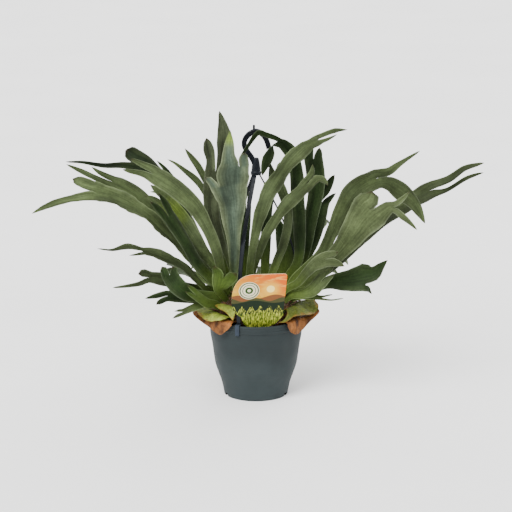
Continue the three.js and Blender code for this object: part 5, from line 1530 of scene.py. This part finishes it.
def clip_piece(name, azimuth, material):
    """The clip that grips the rim, with its edges rounded by a bevel."""
    p, top = CLIP["plate"], ARM_FOOT
    outer, inner = CLIP["outer"], CLIP["inner"]
    outline = [(outer, CLIP["outside"]), (outer + p, CLIP["outside"] + 1), (outer + p, top + p),
               (inner - p, top + p), (inner - p, CLIP["inside"]), (inner, CLIP["inside"]),
               (inner, top), (outer, top)]
    out, up = around(azimuth, 1, 0), Vector((0, 0, 1))
    frames = [(around(azimuth + 90, side * CLIP["width"] / 2, 0), out, up) for side in (-1, 1)]
    clip = swept(name, frames, outline, material)
    bevel = clip.modifiers.new("Bevel", "BEVEL")
    bevel.width, bevel.segments, bevel.limit_method = CLIP["edge"] * MM, 2, "ANGLE"
    bake(clip, bevel)
    return clip


class FERN_OT_hanger(bpy.types.Operator):
    """Build the hook with its ribbed channel, the three arms and their clips"""
    bl_idname = "fern.hanger"
    bl_label = "Build hanger"

    def execute(self, context):
        settings = context.scene.fern_hanger
        material = hanger_material("hanger_plastic", settings.plastic)
        clip_material = hanger_material("clip_plastic", settings.clip)
        hook = swept("hook_bar", hook_frames(), channel(settings.bar / MM, **CHANNEL), material)
        settle(hook, "hanger", "hanger_hook")
        collar = [(r * MM, (z + COLLAR_BOTTOM) * MM) for r, z in COLLAR_PROFILE]
        settle(new_piece("hook_collar", *lathe(collar, 48), material), "hanger")
        ends = [(Vector((STUB["x"], 0, z)), Vector((1, 0, 0)), Vector((0, 1, 0)))
                for z in (STUB["low"], STUB["high"])]
        stub = swept("hook_stub", ends, rounded(STUB["width"], STUB["width"], STUB["corner"]), material)
        settle(stub, "hanger")
        settle(self.ribs(settings, material), "hanger")
        section = rounded(settings.arm_thickness / MM, settings.arm_width / MM, ARM_CORNER)
        for side, azimuth in ARM_AZIMUTHS.items():
            arm = swept(f"hanger_strap_{side}", arm_frames(azimuth), section, material)
            settle(arm, "hanger", f"hanger_arm_{side}")
            settle(clip_piece(f"hanger_clip_{side}", azimuth, clip_material), "hanger")
        for piece in (hook, stub):
            sharpen(piece, 40)
        return {"FINISHED"}

    def ribs(self, settings, material):
        """Cross ribs in the hook's channel, evenly spaced along its path."""
        path = bpy.data.curves.new("hook_path", "CURVE")
        path.dimensions = "3D"
        spline = path.splines.new("POLY")
        frames = hook_frames()[RIB["first_step"]:]
        spline.points.add(len(frames) - 1)
        for point, (centre, _, _) in zip(spline.points, frames):
            point.co = (*(centre * MM), 1)
        size = (RIB["thickness"] * MM, settings.bar - RIB["margin"] * MM, RIB["depth"] * MM)
        return grown("hook_ribs", add_object("hook_path", path), rib_tree(), Material=material,
                     Size=size, Spacing=settings.rib_spacing,
                     Depth=settings.bar / 2 - RIB["depth"] * MM)


def rib_tree():
    """Small bars set across a path at an even spacing, sunk to one side of it."""
    tree = Tree("Ribs along path", Spacing=("Float", 0.005), Size=("Vector", (0.001, 0.005, 0.001)),
                Depth=("Float", 0.003))
    given = tree.given
    points = tree.node("GeometryNodeCurveToPoints",
                       {"Curve": given["Geometry"], "Length": given["Spacing"]}, mode="LENGTH")
    bar = tree.node("GeometryNodeMeshCube", {"Size": given["Size"]})["Mesh"]
    along = tree.node("FunctionNodeAlignRotationToVector", {"Vector": points["Tangent"]},
                      axis="X", pivot_axis="Y")[0]
    placed = tree.node("GeometryNodeInstanceOnPoints",
                       {"Points": points["Points"], "Instance": bar, "Rotation": along})[0]
    offset = tree.node("ShaderNodeCombineXYZ", {1: tree.negative(given["Depth"])})[0]
    return tree.finish(
        tree.node("GeometryNodeTransform", {"Geometry": placed, "Translation": offset})[0])


# Label

CARD = {"lean": 20, "yaw": 6, "hinge_y": -57, "hinge_z": 121, "left": -37, "corner": 5, "shoulder": 10,
        "foot": 58, "stake": 14, "point": 8, "arm_side": -22.5}
CARD_THICKNESS = 0.7
CARD_BORDER = 1.3


def bent(start, handle, end, steps=14):
    """Points of a quadratic curve, without its start."""
    made = []
    for k in range(1, steps + 1):
        t = k / steps
        made.append(tuple((1 - t) ** 2 * s + 2 * t * (1 - t) * h + t * t * e
                          for s, h, e in zip(start, handle, end)))
    return made


def card_outline(settings):
    """The card face: square at the right, rounded off at the left, with its stake below."""
    left, corner, shoulder = CARD["left"], CARD["corner"], CARD["shoulder"]
    half, foot, point, arm = CARD["stake"] / 2, CARD["foot"], CARD["point"], CARD["arm_side"]
    top, right = settings.height / MM, left + settings.width / MM
    outline = [(right - corner, top)]
    outline += bent(outline[-1], (right, top), (right, top - corner), 6)
    outline += [(right - 3, 15), (right - 14, 0), (half, -shoulder), (half - 2, point - foot),
                (0, -foot), (2 - half, point - foot), (-half, -shoulder), (arm + 4, 2), (arm, 14)]
    outline += bent(outline[-1], (left, 22), (left, 42))
    outline += bent(outline[-1], (left, top), (left + 33, top))
    return outline


class FERN_OT_label(bpy.types.Operator):
    """Build the label with a generic printed landscape"""
    bl_idname = "fern.label"
    bl_label = "Build label"

    def execute(self, context):
        settings = context.scene.fern_label
        made = bmesh.new()
        face = made.faces.new([made.verts.new((x, y, CARD_THICKNESS / 2))
                               for x, y in card_outline(settings)])
        bmesh.ops.inset_region(made, faces=[face], thickness=CARD_BORDER, use_boundary=True)
        face.material_index = 1
        layer = made.loops.layers.uv.new("print")
        for one in made.faces:
            for loop in one.loops:
                loop[layer].uv = (loop.vert.co.x - CARD["left"], loop.vert.co.y)
        front = made.faces[:]
        copied = bmesh.ops.duplicate(made, geom=front)
        back = [f for f in copied["geom"] if isinstance(f, bmesh.types.BMFace)]
        for vertex in {v for f in back for v in f.verts}:
            vertex.co.z = -CARD_THICKNESS / 2
        for one in back:
            one.normal_flip()
            one.material_index = 0
        rims = [e for e in made.edges if e.is_boundary]
        bmesh.ops.bridge_loops(made, edges=rims)
        bmesh.ops.triangulate(made, faces=[f for f in made.faces if len(f.verts) > 4])
        bmesh.ops.recalc_face_normals(made, faces=made.faces)
        place = (Matrix.Translation((0, CARD["hinge_y"] * MM, CARD["hinge_z"] * MM))
                 @ Matrix.Rotation(math.radians(CARD["yaw"]), 4, "Z")
                 @ Matrix.Rotation(math.radians(90 + CARD["lean"]), 4, "X") @ Matrix.Scale(MM, 4))
        bmesh.ops.transform(made, matrix=place, verts=made.verts)
        card = add_shape("label_card_printed", made)
        for material in (paper_material(settings), print_material(settings)):
            card.data.materials.append(material)
        settle(card, "card", "label_card")
        return {"FINISHED"}


# Stage

FLOOR_RADIUS = 14

# each light's place, the angle that it fills, and its strength as a share of the key light's
LIGHTS = {"key": ((-1.1, -1.9, 2.6), 34, 1), "back": ((1.2, 2.0, 2.4), 50, 0.25)}


def aimed(name, data, place, direction):
    """An object at a place that looks along a direction."""
    made = add_object(name, data)
    made.location = place
    made.rotation_euler = direction.to_track_quat("-Z", "Y").to_euler()
    return made


class FERN_OT_stage(bpy.types.Operator):
    """Set up the pale floor, the soft lights and the camera"""
    bl_idname = "fern.stage"
    bl_label = "Set stage"

    def execute(self, context):
        settings = context.scene.fern_stage
        floor = new_piece("floor", *lathe([(0, 0), (FLOOR_RADIUS, 0)], 64), floor_material(settings))
        world = bpy.data.worlds.new("studio")
        world.use_nodes = True
        background = world.node_tree.nodes["Background"]
        background.inputs["Color"].default_value = (1, 1, 1, 1)
        background.inputs["Strength"].default_value = settings.around
        context.scene.world = world
        aim = Vector((0, 0, settings.aim_height))
        for name, (place, width, share) in LIGHTS.items():
            light = bpy.data.lights.new(name, "SUN")
            light.angle, light.energy = math.radians(width), share * settings.key
            aimed(name, light, place, aim - Vector(place))
        camera = bpy.data.cameras.new("camera")
        camera.lens = settings.focal
        away = Vector((0, -math.cos(settings.elevation), math.sin(settings.elevation)))
        context.scene.camera = aimed("camera", camera, aim + away * settings.distance, -away)
        return {"FINISHED"}


class FERN_PT_parts(bpy.types.Panel):
    """Lists the parts of the fern"""
    bl_label = "Staghorn fern"
    bl_idname = "FERN_PT_parts"
    bl_space_type = "VIEW_3D"
    bl_region_type = "UI"
    bl_category = "Fern"

    def draw(self, context):
        for operator in OPERATORS:
            self.layout.operator(operator.bl_idname)


OPERATORS = (FERN_OT_stage, FERN_OT_pot, FERN_OT_mix, FERN_OT_crown, FERN_OT_hanger, FERN_OT_label,
             FERN_OT_shields, FERN_OT_fronds)
SETTINGS = {"fern_fronds": FernFrondSettings, "fern_shields": FernShieldSettings,
            "fern_crown": FernCrownSettings, "fern_pot": FernPotSettings,
            "fern_hanger": FernHangerSettings, "fern_label": FernLabelSettings,
            "fern_stage": FernStageSettings}


def register():
    for name, group in SETTINGS.items():
        bpy.utils.register_class(group)
        setattr(bpy.types.Scene, name, PointerProperty(type=group))
    for made in (*OPERATORS, FERN_PT_parts):
        bpy.utils.register_class(made)


def unregister():
    for made in reversed((*OPERATORS, FERN_PT_parts)):
        bpy.utils.unregister_class(made)
    for name, group in reversed(SETTINGS.items()):
        delattr(bpy.types.Scene, name)
        bpy.utils.unregister_class(group)


def main():
    register()
    for operator in OPERATORS:
        group, name = operator.bl_idname.split(".")
        getattr(getattr(bpy.ops, group), name)()


if __name__ == "__main__":
    main()
